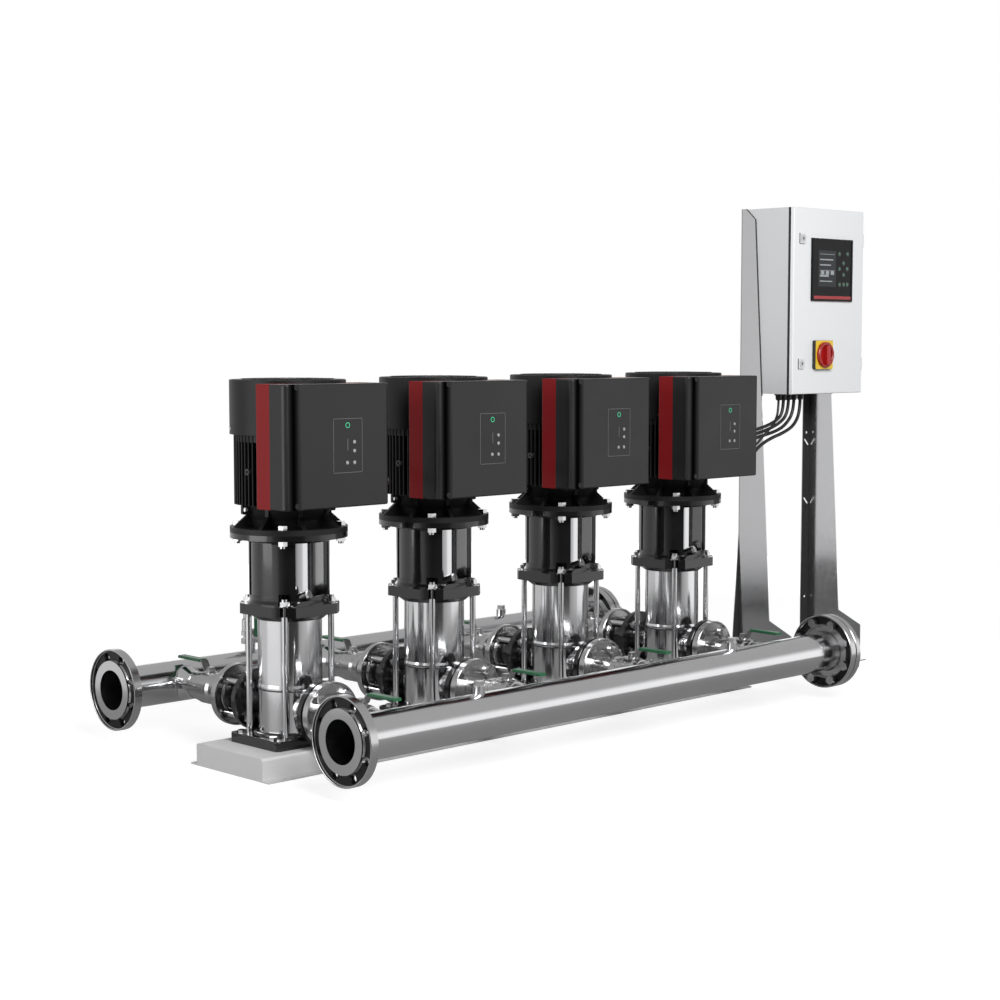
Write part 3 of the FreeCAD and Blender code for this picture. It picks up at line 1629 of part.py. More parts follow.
def cabinet_gear():
    """Mounting plate on studs, with a rail of circuit breakers and the switch body."""
    back = cabinet_back() - cabinet_sheet
    plate_front = back - gear_plate_inset
    plate = block(
        (cabinet_left + 26, cabinet_right() - 26),
        (plate_front, plate_front + gear_plate_thickness),
        (cabinet_bottom + 40, cabinet_top() - 40),
    )
    studs = []
    for x in (cabinet_left + 40, cabinet_right() - 40):
        for z in (cabinet_bottom + 60, cabinet_top() - 60):
            stud = to_y(cylinder(5, gear_plate_inset - gear_plate_thickness))
            studs.append(moved(stud, x, plate_front + gear_plate_thickness, z))
    plate = plate.fuse(studs).removeSplitter()
    rail_z = cabinet_bottom + 0.6 * cabinet_height
    rail = block(
        (cabinet_left + 34, cabinet_right() - 34), (plate_front - 7.5, plate_front),
        (rail_z - 17.5, rail_z + 17.5),
    )
    pieces = [plate, rail]
    row_width = breaker_count * breaker_width + (breaker_count - 1) * 2
    for step in range(breaker_count):
        x = cabinet_left + (cabinet_width - row_width) / 2 + step * (breaker_width + 2)
        body = block((x, x + breaker_width), (plate_front - 7.5 - breaker_depth, plate_front - 7.5),
                     (rail_z - breaker_height / 2, rail_z + breaker_height / 2))
        nose_back = plate_front - 7 - breaker_depth
        nose = block((x, x + breaker_width), (nose_back - 13, nose_back),
                     (rail_z - breaker_height / 4, rail_z + breaker_height / 4))
        pieces.append(body.fuse(nose).removeSplitter())
    sx = cabinet_left + switch_column
    sz = cabinet_bottom + switch_row
    switch = block((sx - 32, sx + 32), (plate_front - 60, plate_front), (sz - 32, sz + 32))
    pieces.append(switch)
    return pieces


# Stand
def post(side):
    """Folded post: a side plate with a flared foot, a perforated rear flange turned inwards,
    a floor flange turned outwards and a gusset behind it."""
    plane = post_left_outer if side < 0 else post_right_outer - post_sheet
    top = cabinet_top() + 2
    rear = post_rear
    outline = [
        (plane, rear, 0),
        (plane, rear, top),
        (plane, rear - post_top_depth, top),
        (plane, rear - post_shoulder_depth, top - post_shoulder_drop),
        (plane, rear - post_waist_depth, post_waist_height),
        (plane, rear - post_toe_depth, post_toe_height),
        (plane, rear - post_toe_depth, 0),
    ]
    side_plate = plate_from(outline, Vector(post_sheet, 0, 0))
    inner_low = plane + post_sheet - 0.5 if side < 0 else plane - post_rear_flange + post_sheet
    rear_flange = block(
        (inner_low, inner_low + post_rear_flange - post_sheet + 0.5),
        (rear - post_sheet, rear), (0, cabinet_bottom - 4))
    rear_flange = rear_flange.cut(post_slots(plane, side))
    outer_low = plane - post_foot_flange if side < 0 else plane + post_sheet - 0.5
    outer_high = plane + 0.5 if side < 0 else plane + post_sheet + post_foot_flange
    floor_flange = block((outer_low, outer_high), (rear - post_toe_depth, rear), (0, post_sheet))
    tip = plane - post_foot_flange if side < 0 else plane + post_sheet + post_foot_flange
    root = plane + 0.5 if side < 0 else plane + post_sheet - 0.5
    front = rear - post_sheet
    gusset = plate_from(
        [(root, front, 0), (tip, front, 0), (root, front, post_gusset_height)],
        Vector(0, post_sheet, 0))
    middle = (outer_low + outer_high) / 2
    holes = []
    for y in post_anchor_rows():
        holes.append(cylinder(post_anchor_radius, 4 * post_sheet, middle, y, -post_sheet))
    body = side_plate.fuse([rear_flange, floor_flange, gusset]).cut(holes)
    return body.removeSplitter()


def post_anchor_rows():
    return (post_rear - post_toe_depth + 30, post_rear - 40)


def post_slots(plane, side):
    """Round holes and slanted slots of the rear flange."""
    centre = plane + post_sheet - side * post_rear_flange / 2
    cuts = []
    for height in post_hole_heights:
        cuts.append(moved(to_y(cylinder(post_hole_radius, 20, z=-10)), centre, post_rear, height))
    for height in post_slot_heights:
        half_length = post_slot_half_length
        half_width = post_slot_half_width
        slot = block((-half_length, half_length), (-10, 10), (-half_width, half_width))
        for end in (-half_length, half_length):
            slot = slot.fuse(moved(to_y(cylinder(half_width, 20, z=-10)), x=end))
        slot.rotate(ORIGIN, Y_AXIS, post_slot_slant * side)
        cuts.append(moved(slot, centre, post_rear, height))
    return cuts


# Cables, their glands, clips and routes
def gland_places():
    return [(x, radius) for x, radius in zip(gland_columns, cable_radii)]


def gland(radius):
    """Cable gland along -Z with its hexagon against the wall at zero."""
    body = turned([
        (0, -gland_length + gland_recess),
        (radius + gland_recess, -gland_length + gland_recess),
        (radius + gland_recess, -gland_length),
        (radius + 2.5, -gland_length),
        (gland_radius - 2, -gland_length + 5),
        (gland_radius - 2, -6),
        (0, -6),
    ])
    return body.fuse(hexagon(2 * gland_radius, 6, z=-6)).removeSplitter()


def clip():
    """Strap that holds the cables against the rear of a motor."""
    back = motor_fin_radius + seat_gap
    depth = 2 * cable_radius + 3
    low = clip_levels[-1] - cable_radius - clip_room
    high = clip_levels[0] + cable_radius + clip_room
    plate = block((-12, 12), (back, back + 2), (low - 6, high + 6))
    strap = block((-5, 5), (back + 1, back + depth + 4), (low, high))
    room = block((-6, 6), (back + 2, back + depth + 2), (low + 2, high - 2))
    return plate.fuse(strap).cut(room).removeSplitter()


def glands_and_clips():
    pieces = [moved(gland(radius), x, gland_row, cabinet_bottom) for x, radius in gland_places()]
    side_gland = to_x(gland(cable_radius), -1)
    for index in range(pump_count):
        pieces.append(moved(side_gland, pump_x(index) + drive_half_width, drive_gland_y, drive_gland_z))
    signal_gland = to_x(gland(signal_cable_radius), -1)
    last = pump_x(pump_count - 1)
    pieces.append(moved(signal_gland, last + drive_half_width, drive_gland_y, signal_gland_z))
    for index in range(1, pump_count):
        pieces.append(moved(clip(), x=pump_x(index)))
    return pieces


def cable_routes():
    """Five routes by hand, each from its gland at the cabinet to its gland on a drive."""
    routes = []
    for drop, spans in ((drop_a, 2), (drop_b, 1), (drop_c, 0)):
        route = list(drop)
        for step in range(spans):
            start = Vector(*route[-1])
            route += [tuple(start + Vector(*point)) for point in span_points]
        clip_point = Vector(*route[-1])
        fall = clip_point.z - drive_gland_z
        for x, y, share in entry_points:
            route.append((clip_point.x + x, y, drive_gland_z + fall * share))
        routes.append(route)
    routes.append(list(drop_d))
    routes.append(list(drop_e))
    return routes


def tube(points, radius):
    """Round tube along straight runs joined by tangent arcs, with its smallest bend radius."""
    nodes = [Vector(*point) for point in points]
    lengths = [(nodes[i + 1] - nodes[i]).Length for i in range(len(nodes) - 1)]
    edges = []
    start = nodes[0]
    tightest = 1e9
    for i in range(1, len(nodes) - 1):
        before = (nodes[i] - nodes[i - 1]).normalize()
        after = (nodes[i + 1] - nodes[i]).normalize()
        half_turn = before.getAngle(after) / 2
        reach = 0.45 * min(lengths[i - 1], lengths[i])
        bend = reach / math.tan(half_turn)
        tightest = min(tightest, bend)
        arc_start = nodes[i] - before * reach
        arc_end = nodes[i] + after * reach
        inward = (after - before).normalize()
        arc_middle = nodes[i] + inward * (bend / math.cos(half_turn) - bend)
        edges.append(Part.LineSegment(start, arc_start).toShape())
        edges.append(Part.Arc(arc_start, arc_middle, arc_end).toShape())
        start = arc_end
    edges.append(Part.LineSegment(start, nodes[-1]).toShape())
    path = Part.Wire(edges)
    direction = (nodes[1] - nodes[0]).normalize()
    section = Part.Wire([Part.makeCircle(radius, nodes[0], direction)])
    solid = path.makePipeShell([section], True, False)
    expected = math.pi * radius ** 2 * path.Length
    print("cable: tightest bend %.0f mm, volume ratio %.4f" % (tightest, solid.Volume / expected))
    return solid


def export(name, shapes):
    shape = Part.makeCompound(shapes) if isinstance(shapes, list) else shapes
    shape = moved(shape, *tuple(origin_shift))
    shape.exportStep("parts/" + name + ".step")


def for_each_pump(shapes):
    pieces = shapes if isinstance(shapes, list) else [shapes]
    return [moved(piece, x=pump_x(index)) for index in range(pump_count) for piece in pieces]


def main():
    os.makedirs("parts", exist_ok=True)
    export("base_frame", base_frame())
    export("foot_plates", for_each_pump(foot()))
    export("pump_housings", for_each_pump(pump_housing()))
    export("pump_sleeves", for_each_pump([sleeve(), seal_ring(), stage_stack()]))
    export("motor_stools", for_each_pump(stool()))
    export("coupling_guards", for_each_pump(coupling_guards()))
    export("staybolts", for_each_pump(staybolts()))
    export("fan_covers", for_each_pump(fan_cover()))

    motor = motor_housing()
    case = drive_case()
    cover = drive_cover()
    spindle = rotor()
    for index in range(pump_count):
        name = "pump_%d_" % (index + 1)
        export(name + "motor", moved(motor, x=pump_x(index)))
        export(name + "drive_case", moved(case, x=pump_x(index)))
        export(name + "drive_cover", moved(cover, x=pump_x(index)))
        export(name + "rotor", [moved(piece, x=pump_x(index)) for piece in spindle])

    lines = ((-1, "suction", port_face, suction_valve_near),
             (1, "discharge", port_face + check_valve_length, discharge_valve_near))
    port_flanges = []
    counter_flanges = []
    valve_bodies = []
    bolts = []
    for side, line, face, near in lines:
        for index in range(pump_count):
            port_flanges.append(branch_place(port_flange(), side, index))
            counter_flanges.append(branch_place(counter_flange(face), side, index))
            counter_flanges.append(branch_place(nipple(face), side, index))
            valve_bodies.append(branch_place(valve_body(near), side, index))
            bolts += [branch_place(piece, side, index) for piece in branch_bolts(face)]
            handle = [branch_place(piece, side, index) for piece in lever(near)]
            export("%s_lever_%d" % (line, index + 1), handle)
    export("port_flanges", port_flanges)
    export("counter_flanges", counter_flanges)
    export("valve_bodies", valve_bodies)
    export("check_valve_bodies", [branch_place(check_valve_body(), 1, index) for index in range(pump_count)])
    for index in range(pump_count):
        export("check_disc_%d" % (index + 1), branch_place(check_disc(), 1, index))

    export("suction_manifold", manifold(-1, suction_offset))
    export("discharge_manifold", manifold(1, discharge_offset))
    flanges, blinds = manifold_flanges()
    export("manifold_flanges", flanges + blinds)
    foot_bolt = bolt(foot_bolt_radius, foot_thickness + base_sheet, 19, 8, 10)
    for index in range(pump_count):
        for x, y in corner_points(foot_bolt_spacing_x, foot_bolt_spacing_y):
            one = foot_bolt.copy()
            one.rotate(ORIGIN, X_AXIS, 180)
            bolts.append(moved(one, pump_x(index) + x, y, foot_top))
        grip = stool_flange_thickness + motor_flange_thickness
        motor_bolt = bolt(motor_bolt_radius, grip, motor_bolt_flats, motor_bolt_head_height,
                          motor_bolt_nut_height, motor_bolt_end)
        for x, y in motor_bolt_places():
            one = motor_bolt.copy()
            one.rotate(ORIGIN, X_AXIS, 180)
            bolts.append(moved(one, pump_x(index) + x, y, motor_flange_top))
    export("bolts_and_nuts", bolts + manifold_bolts())

    plugs = [manifold_plug(x, -1, suction_offset) for x in socket_places()]
    plugs.append(manifold_plug(socket_places()[1], 1, discharge_offset))
    plug_seat = vent_seat() + vent_direction() * vent_boss_reach
    plug_radius = vent_boss_radius - 6 - seat_gap
    vent = Part.makeCylinder(plug_radius, 8, plug_seat - vent_direction() * 8, vent_direction())
    vent_head = hexagon(vent_plug_flats, 8)
    vent_head.Placement = FreeCAD.Placement(plug_seat, FreeCAD.Rotation(Z_AXIS, vent_direction()))
    plugs += for_each_pump(vent.fuse(vent_head).removeSplitter())
    export("manifold_fittings", gauge_parts() + plugs)
    export("cock_lever", cock_lever())

    export("cabinet_body", [cabinet_body()] + body_hinges())
    export("cabinet_door", [door_shell(), gasket()])
    export("cabinet_gear", cabinet_gear())
    export("operator_panels", operator_panels())
    export("main_switch", main_switch())
    export("door_lock_lower", lock(lock_heights[0]))
    export("door_lock_upper", lock(lock_heights[1]))
    export("cabinet_stand", [post(-1), post(1)])
    export("cable_glands", glands_and_clips())
    radii = (cable_radius, cable_radius, cable_radius, cable_radius, signal_cable_radius)
    for index, (route, radius) in enumerate(zip(cable_routes(), radii)):
        export("cable_%d" % (index + 1), tube(route, radius))


main()
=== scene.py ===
import bpy
import bmesh
import math
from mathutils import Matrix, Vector


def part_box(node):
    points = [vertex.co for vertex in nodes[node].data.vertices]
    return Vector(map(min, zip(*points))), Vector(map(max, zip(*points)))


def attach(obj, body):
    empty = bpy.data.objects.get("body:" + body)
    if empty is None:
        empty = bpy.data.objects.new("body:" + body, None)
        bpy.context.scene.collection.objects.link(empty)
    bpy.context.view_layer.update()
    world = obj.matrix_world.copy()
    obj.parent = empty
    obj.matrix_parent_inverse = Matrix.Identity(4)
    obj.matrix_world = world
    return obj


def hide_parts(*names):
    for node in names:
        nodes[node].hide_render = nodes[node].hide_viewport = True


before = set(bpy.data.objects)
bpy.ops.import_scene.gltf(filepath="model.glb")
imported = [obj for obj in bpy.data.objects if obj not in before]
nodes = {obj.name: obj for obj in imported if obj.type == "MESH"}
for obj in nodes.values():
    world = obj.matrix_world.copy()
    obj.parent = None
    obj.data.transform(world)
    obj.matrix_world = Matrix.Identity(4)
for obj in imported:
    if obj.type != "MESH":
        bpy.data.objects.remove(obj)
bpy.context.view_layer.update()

# Places in the row, in millimetres from the first pump's axis, as the maker measures them
PUMP_COUNT = 4
PUMP_PITCH = 500.0
BASE_OVERHANG = 197.0
PUMP_X = [index * PUMP_PITCH for index in range(PUMP_COUNT)]
base_low, base_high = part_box("base_frame")
ROW_X = base_low[0] + BASE_OVERHANG / 1000
ROW_Y = (base_low[1] + base_high[1]) / 2


def at(x, y, z):
    """Metres in the row frame from millimetres measured at the first pump's axis."""
    return Vector((ROW_X + x / 1000, ROW_Y + y / 1000, z / 1000))


# Camera
CAMERA_PLACE = (-2999.25, -3849.13, 1079.86)
CAMERA_TURN = 45.73
CAMERA_PITCH = 4.73
CAMERA_LENS = 68.64


def make_camera():
    data = bpy.data.cameras.new("photo_camera")
    data.lens = CAMERA_LENS
    data.sensor_width = 36
    data.clip_end = 60
    camera = bpy.data.objects.new("photo_camera", data)
    bpy.context.collection.objects.link(camera)
    camera.location = at(*CAMERA_PLACE)
    turn = math.radians(CAMERA_TURN - 90)
    camera.rotation_euler = (math.radians(90 - CAMERA_PITCH), 0, turn)
    bpy.context.scene.camera = camera


make_camera()


# Cables, routes in millimetres from the first pump's axis
CABLE_DIAMETER = 11.0
SIGNAL_DIAMETER = 8.0
DRIVE_GLAND_Z = 712.0
DROP_A = [
    (2046, -8, 890), (2044, -8, 850), (2018, -4, 824), (1951, 1, 802), (1862, 29, 785),
    (1768, 78, 782), (1676, 120, 790), (1590, 139, 797), (1500, 141, 800),
]
DROP_B = [
    (2073, -8, 890), (2071, -8, 849), (2038, -3, 815), (1951, 5, 787), (1862, 42, 768),
    (1768, 90, 768), (1678, 125, 776), (1592, 140, 783), (1500, 141, 787),
]
DROP_C = [
    (2102, -8, 890), (2100, -8, 848), (2062, -5, 808), (2020, -2, 790), (1951, 2, 776),
    (1862, 26, 755), (1768, 74, 751), (1676, 119, 761), (1590, 139, 769), (1500, 141, 774),
]
DROP_D = [
    (2136, -8, 890), (2134, -9, 848), (2097, -14, 806), (2035, -19, 784), (1951, -28, 768),
    (1868, -50, 748), (1796, -82, 728), (1729, -112.5, 712), (1689, -112.5, 712),
]
DROP_E = [
    (2020, -8, 890), (2018, -9, 856), (1997, -15, 825), (1951, -32, 803), (1898, -52, 789),
    (1846, -74, 774), (1792, -98, 757), (1725, -112.5, 744), (1689, -112.5, 744),
]
SPAN_POINTS = [(-125, 1, -8), (-250, 2, -11), (-375, 1, -8), (-500, 0, 0)]
ENTRY_POINTS = [
    (-62, 141.5, 0.88), (-153, 141, 0.66), (-193, 118, 0.54), (-216, 78, 0.43), (-213, 12, 0.27),
    (-216, -54, 0.13), (-237, -91, 0.04), (-273, -112.5, 0.0), (-311, -112.5, 0.0),
]


def cable_routes():
    routes = []
    for drop, spans in ((DROP_A, 2), (DROP_B, 1), (DROP_C, 0)):
        route = list(drop)
        for _ in range(spans):
            x, y, z = route[-1]
            route += [(x + dx, y + dy, z + dz) for dx, dy, dz in SPAN_POINTS]
        clip_x, _, clip_z = route[-1]
        fall = clip_z - DRIVE_GLAND_Z
        route += [(clip_x + dx, y, DRIVE_GLAND_Z + fall * share) for dx, y, share in ENTRY_POINTS]
        routes.append(route)
    return routes + [DROP_D, DROP_E]


def curve_length(curve_object):
    mesh = bpy.data.meshes.new_from_object(curve_object.evaluated_get(bpy.context.evaluated_depsgraph_get()))
    places = [vertex.co for vertex in mesh.vertices]
    return sum((places[i + 1] - places[i]).length for i in range(len(places) - 1))


def make_cable(number, route, diameter, material):
    curve = bpy.data.curves.new("supply_cable_%d" % number, "CURVE")
    curve.dimensions = "3D"
    curve.resolution_u = 12
    spline = curve.splines.new("NURBS")
    spline.points.add(len(route) - 1)
    for point, place in zip(spline.points, route):
        point.co = (*at(*place), 1)
    spline.order_u = 3
    spline.use_endpoint_u = True
    cable = bpy.data.objects.new("supply_cable_%d" % number, curve)
    bpy.context.collection.objects.link(cable)
    length = curve_length(cable)
    curve.bevel_depth = diameter / 2000
    curve.bevel_resolution = 5
    curve.use_fill_caps = True
    curve.materials.append(material)
    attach(cable, "set")
    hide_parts("cable_%d" % number)


# Shader groups shared by several finishes
def new_group(name, inputs, outputs):
    group = bpy.data.node_groups.new(name, "ShaderNodeTree")
    for label, kind, default in inputs:
        socket = group.interface.new_socket(label, in_out="INPUT", socket_type="NodeSocket" + kind)
        socket.default_value = default
    for label, kind in outputs:
        group.interface.new_socket(label, in_out="OUTPUT", socket_type="NodeSocket" + kind)
    return group, group.nodes.new("NodeGroupInput"), group.nodes.new("NodeGroupOutput")


def math_node(tree, operation, first, second=None, clamp=False):
    node = tree.nodes.new("ShaderNodeMath")
    node.operation = operation
    node.use_clamp = clamp
    for socket, value in zip(node.inputs, (first, second)):
        if value is None:
            continue
        if isinstance(value, (int, float)):
            socket.default_value = value
        else:
            tree.links.new(value, socket)
    return node.outputs[0]


def colour_mix(tree, factor, first, second):
    node = tree.nodes.new("ShaderNodeMix")
    node.data_type = "RGBA"
    for socket, value in zip((node.inputs[0], node.inputs[6], node.inputs[7]), (factor, first, second)):
        if isinstance(value, (int, float, tuple)):
            socket.default_value = value
        else:
            tree.links.new(value, socket)
    return node.outputs[2]


def object_noise(tree, scale, detail, stretch=(1, 1, 1)):
    place = tree.nodes.new("ShaderNodeTexCoord")
    mapping = tree.nodes.new("ShaderNodeMapping")
    mapping.inputs["Scale"].default_value = stretch
    tree.links.new(place.outputs["Object"], mapping.inputs["Vector"])
    noise = tree.nodes.new("ShaderNodeTexNoise")
    noise.inputs["Detail"].default_value = detail
    if isinstance(scale, (int, float)):
        noise.inputs["Scale"].default_value = scale
    else:
        tree.links.new(scale, noise.inputs["Scale"])
    tree.links.new(mapping.outputs[0], noise.inputs["Vector"])
    return noise.outputs["Fac"]


FINISH_OUTPUTS = [("Colour", "Color"), ("Roughness", "Float"), ("Height", "Float")]
DUST_COLOUR = (0.42, 0.41, 0.39, 1)
DUST_SLOPE = 0.6
DUST_GAIN = 4.0
DUST_ROUGHNESS = 0.4
MOTTLE_SCALE = 7.0
MOTTLE_ROUGHNESS = 0.25
LINE_STRETCH = (0.02, 1, 1)
LINE_ROUGHNESS = 0.12
MARK_SCALE = 16.0


def tinted(group, colour, brightness):
    """A colour made brighter or darker by a factor."""
    tint = group.nodes.new("ShaderNodeVectorMath")
    tint.operation = "SCALE"
    group.links.new(colour, tint.inputs[0])
    group.links.new(brightness, tint.inputs["Scale"])
    return tint.outputs[0]


def make_coat_group():
    """Paint or moulded surface: fine grain, broad mottling, and dust on faces that look up."""
    group, given, result = new_group("coat_grain", [
        ("Colour", "Color", (0.5, 0.5, 0.5, 1)), ("Roughness", "Float", 0.4),
        ("Grain scale", "Float", 600.0), ("Grain depth", "Float", 0.3),
        ("Mottling", "Float", 0.06), ("Dust", "Float", 0.05)], FINISH_OUTPUTS)
    grain = object_noise(group, given.outputs["Grain scale"], 3)
    broad = object_noise(group, MOTTLE_SCALE, 4)
    normal = group.nodes.new("ShaderNodeNewGeometry")
    split = group.nodes.new("ShaderNodeSeparateXYZ")
    group.links.new(normal.outputs["Normal"], split.inputs[0])
    up = math_node(group, "SUBTRACT", split.outputs["Z"], DUST_SLOPE, True)
    dust = math_node(group, "MULTIPLY", math_node(group, "MULTIPLY", up, broad), given.outputs["Dust"])
    dust = math_node(group, "MULTIPLY", dust, DUST_GAIN, True)
    centred = math_node(group, "SUBTRACT", broad, 0.5)
    shade = math_node(group, "MULTIPLY", centred, given.outputs["Mottling"])
    colour = tinted(group, given.outputs["Colour"], math_node(group, "ADD", shade, 1.0))
    group.links.new(colour_mix(group, dust, colour, DUST_COLOUR), result.inputs["Colour"])
    uneven = math_node(group, "MULTIPLY", centred, MOTTLE_ROUGHNESS)
    rough = math_node(group, "ADD", given.outputs["Roughness"], uneven)
    rough = math_node(group, "ADD", rough, math_node(group, "MULTIPLY", dust, DUST_ROUGHNESS), True)
    group.links.new(rough, result.inputs["Roughness"])
    height = math_node(group, "MULTIPLY", grain, given.outputs["Grain depth"])
    group.links.new(height, result.inputs["Height"])
    return group


def make_metal_group():
    """Polished or brushed metal: lines drawn along X and faint handling marks."""
    group, given, result = new_group("drawn_metal", [
        ("Colour", "Color", (0.6, 0.6, 0.6, 1)), ("Roughness", "Float", 0.2), ("Line scale", "Float", 900.0),
        ("Line depth", "Float", 0.3), ("Marks", "Float", 0.1)], FINISH_OUTPUTS)
    lines = object_noise(group, given.outputs["Line scale"], 2, LINE_STRETCH)
    marks = object_noise(group, MARK_SCALE, 5)
    centred = math_node(group, "SUBTRACT", marks, 0.5)
    line_part = math_node(group, "SUBTRACT", lines, 0.5)
    spread = math_node(group, "MULTIPLY", centred, given.outputs["Marks"])
    colour = tinted(group, given.outputs["Colour"], math_node(group, "ADD", spread, 1.0))
    group.links.new(colour, result.inputs["Colour"])
    rough = math_node(group, "ADD", given.outputs["Roughness"], spread)
    rough = math_node(group, "ADD", rough, math_node(group, "MULTIPLY", line_part, LINE_ROUGHNESS), True)
    group.links.new(rough, result.inputs["Roughness"])
    height = math_node(group, "MULTIPLY", lines, given.outputs["Line depth"])
    group.links.new(height, result.inputs["Height"])
    return group


coat_group = make_coat_group()
metal_group = make_metal_group()
RELIEF_DISTANCE = 0.0004
FAR_AWAY = 10.0


def finish_material(name, group, colour, values, metallic=0.0, bump=0.1, coat=0.0, coat_roughness=0.1,
                    specular=0.5):
    material = bpy.data.materials.new(name)
    material.use_nodes = True
    tree = material.node_tree
    shader = tree.nodes["Principled BSDF"]
    shader.inputs["Metallic"].default_value = metallic
    shader.inputs["Coat Weight"].default_value = coat
    shader.inputs["Coat Roughness"].default_value = coat_roughness
    shader.inputs["Specular IOR Level"].default_value = specular
    source = tree.nodes.new("ShaderNodeGroup")
    source.node_tree = group
    source.inputs["Colour"].default_value = (*colour, 1)
    for label, value in values.items():
        source.inputs[label].default_value = value
    tree.links.new(source.outputs["Colour"], shader.inputs["Base Color"])
    tree.links.new(source.outputs["Roughness"], shader.inputs["Roughness"])
    relief = tree.nodes.new("ShaderNodeBump")
    relief.inputs["Strength"].default_value = bump
    relief.inputs["Distance"].default_value = RELIEF_DISTANCE
    tree.links.new(source.outputs["Height"], relief.inputs["Height"])
    tree.links.new(relief.outputs[0], shader.inputs["Normal"])
    return material


def coat_finish(name, colour, roughness, grain=600.0, depth=0.3, mottling=0.06, dust=0.05, **more):
    values = {"Roughness": roughness, "Grain scale": grain, "Grain depth": depth, "Mottling": mottling,
              "Dust": dust}
    return finish_material(name, coat_group, colour, values, **more)


def metal_finish(name, colour, roughness, lines=900.0, depth=0.3, marks=0.08, **more):
    values = {"Roughness": roughness, "Line scale": lines, "Line depth": depth, "Marks": marks}
    return finish_material(name, metal_group, colour, values, metallic=1.0, **more)


def place_parts(tree):
    """X, Y and Z in the row frame, in metres."""
    place = tree.nodes.new("ShaderNodeTexCoord")
    split = tree.nodes.new("ShaderNodeSeparateXYZ")
    tree.links.new(place.outputs["Object"], split.inputs[0])
    return split.outputs


def band_mask(tree, axis, low, high):
    """One between two places along an axis of the row frame, in metres, and nought outside."""
    place = place_parts(tree)[axis]
    above = math_node(tree, "GREATER_THAN", place, low)
    below = math_node(tree, "LESS_THAN", place, high)
    return math_node(tree, "MULTIPLY", above, below)


def ring_mask(tree, axes, low, high):
    """One at a radius between two sizes round the nearest axis along X, each with its Y and Z."""
    parts = place_parts(tree)
    nearest = FAR_AWAY
    for y, z in axes:
        across = math_node(tree, "SUBTRACT", parts["Y"], y)
        height = math_node(tree, "SUBTRACT", parts["Z"], z)
        square = math_node(tree, "MULTIPLY", across, across)
        square = math_node(tree, "ADD", square, math_node(tree, "MULTIPLY", height, height))
        nearest = math_node(tree, "MINIMUM", math_node(tree, "SQRT", square), nearest)
    outside = math_node(tree, "GREATER_THAN", nearest, low)
    inside = math_node(tree, "LESS_THAN", nearest, high)
    return math_node(tree, "MULTIPLY", outside, inside)


def two_tone(material, mask_of, second_colour, second_roughness, second_metallic):
    """Repaints the part of a finish where a mask is one."""
    tree = material.node_tree
    shader = tree.nodes["Principled BSDF"]
    mask = mask_of(tree)
    colour = shader.inputs["Base Color"].links[0].from_socket
    tree.links.new(colour_mix(tree, mask, colour, (*second_colour, 1)), shader.inputs["Base Color"])
    rough = shader.inputs["Roughness"].links[0].from_socket
    keep = math_node(tree, "SUBTRACT", 1.0, mask)
    rough = math_node(tree, "MULTIPLY", rough, keep)
    rough = math_node(tree, "ADD", rough, math_node(tree, "MULTIPLY", mask, second_roughness))
    tree.links.new(rough, shader.inputs["Roughness"])
    base = shader.inputs["Metallic"].default_value
    metal = math_node(tree, "ADD", math_node(tree, "MULTIPLY", keep, base),
                      math_node(tree, "MULTIPLY", mask, second_metallic))
    tree.links.new(metal, shader.inputs["Metallic"])


# Finishes
GLOSS_BLACK = coat_finish("gloss_black_casting", (0.0035, 0.0035, 0.004), 0.22, 260, 0.5, dust=0.005,
                          bump=0.2, coat=0.55, coat_roughness=0.06, specular=0.35)
MOTOR_BLACK = coat_finish("motor_black", (0.007, 0.007, 0.0075), 0.45, 420, 0.4, dust=0.006, bump=0.2,
                          specular=0.22)
STAINLESS = metal_finish("polished_stainless", (0.63, 0.63, 0.64), 0.13)
PIPE_STEEL = metal_finish("polished_pipe", (0.66, 0.66, 0.67), 0.15, 1200, 0.4, 0.06, bump=0.05)
PRESSED_STEEL = metal_finish("pressed_flange_steel", (0.5, 0.5, 0.5), 0.24, 700, 0.3, 0.14)
VALVE_STEEL = metal_finish("valve_body_steel", (0.52, 0.52, 0.52), 0.25, 500, 0.3, 0.14)
BOLT_ZINC = metal_finish("zinc_bolts", (0.6, 0.6, 0.61), 0.22, 500, 0.2, 0.12)
BRIGHT_ROD = metal_finish("bright_rods", (0.62, 0.62, 0.63), 0.16, 800, 0.2, 0.08)
BASE_GREY = coat_finish("base_powder_coat", (0.57, 0.57, 0.57), 0.36, 900, 0.3, 0.04, bump=0.08)
POST_GREY = metal_finish("brushed_posts", (0.54, 0.54, 0.55), 0.17, 60, 0.1, 0.03, bump=0.01)
CABINET_GREY = coat_finish("cabinet_powder_coat", (0.56, 0.57, 0.58), 0.42, 1100, 0.3, 0.02, dust=0.0,
                           bump=0.06)
GEAR_GREY = coat_finish("device_plastic", (0.45, 0.45, 0.45), 0.5)
DRIVE_RED = coat_finish("drive_red_paint", (0.2, 0.004, 0.006), 0.45, 700, 0.4, 0.05, dust=0.01, bump=0.12,
                        specular=0.2)
DRIVE_SHINE = 0.34
DRIVE_DARK = coat_finish("drive_dark_moulding", (0.01, 0.01, 0.0105), 0.36, 1500, 0.4, 0.05, dust=0.02,
                         bump=0.15, specular=DRIVE_SHINE)
RUBBER = coat_finish("cable_sheath", (0.012, 0.012, 0.013), 0.45, 500, 0.3, dust=0.01)
GLAND_BLACK = coat_finish("gland_plastic", (0.02, 0.02, 0.02), 0.5)
SWITCH_RED = coat_finish("switch_red_moulding", (0.36, 0.008, 0.008), 0.3, 900, 0.2)
LOCK_NICKEL = metal_finish("lock_nickel", (0.5, 0.5, 0.5), 0.25)
SCREW_BLACK = metal_finish("black_screws", (0.03, 0.03, 0.03), 0.35)
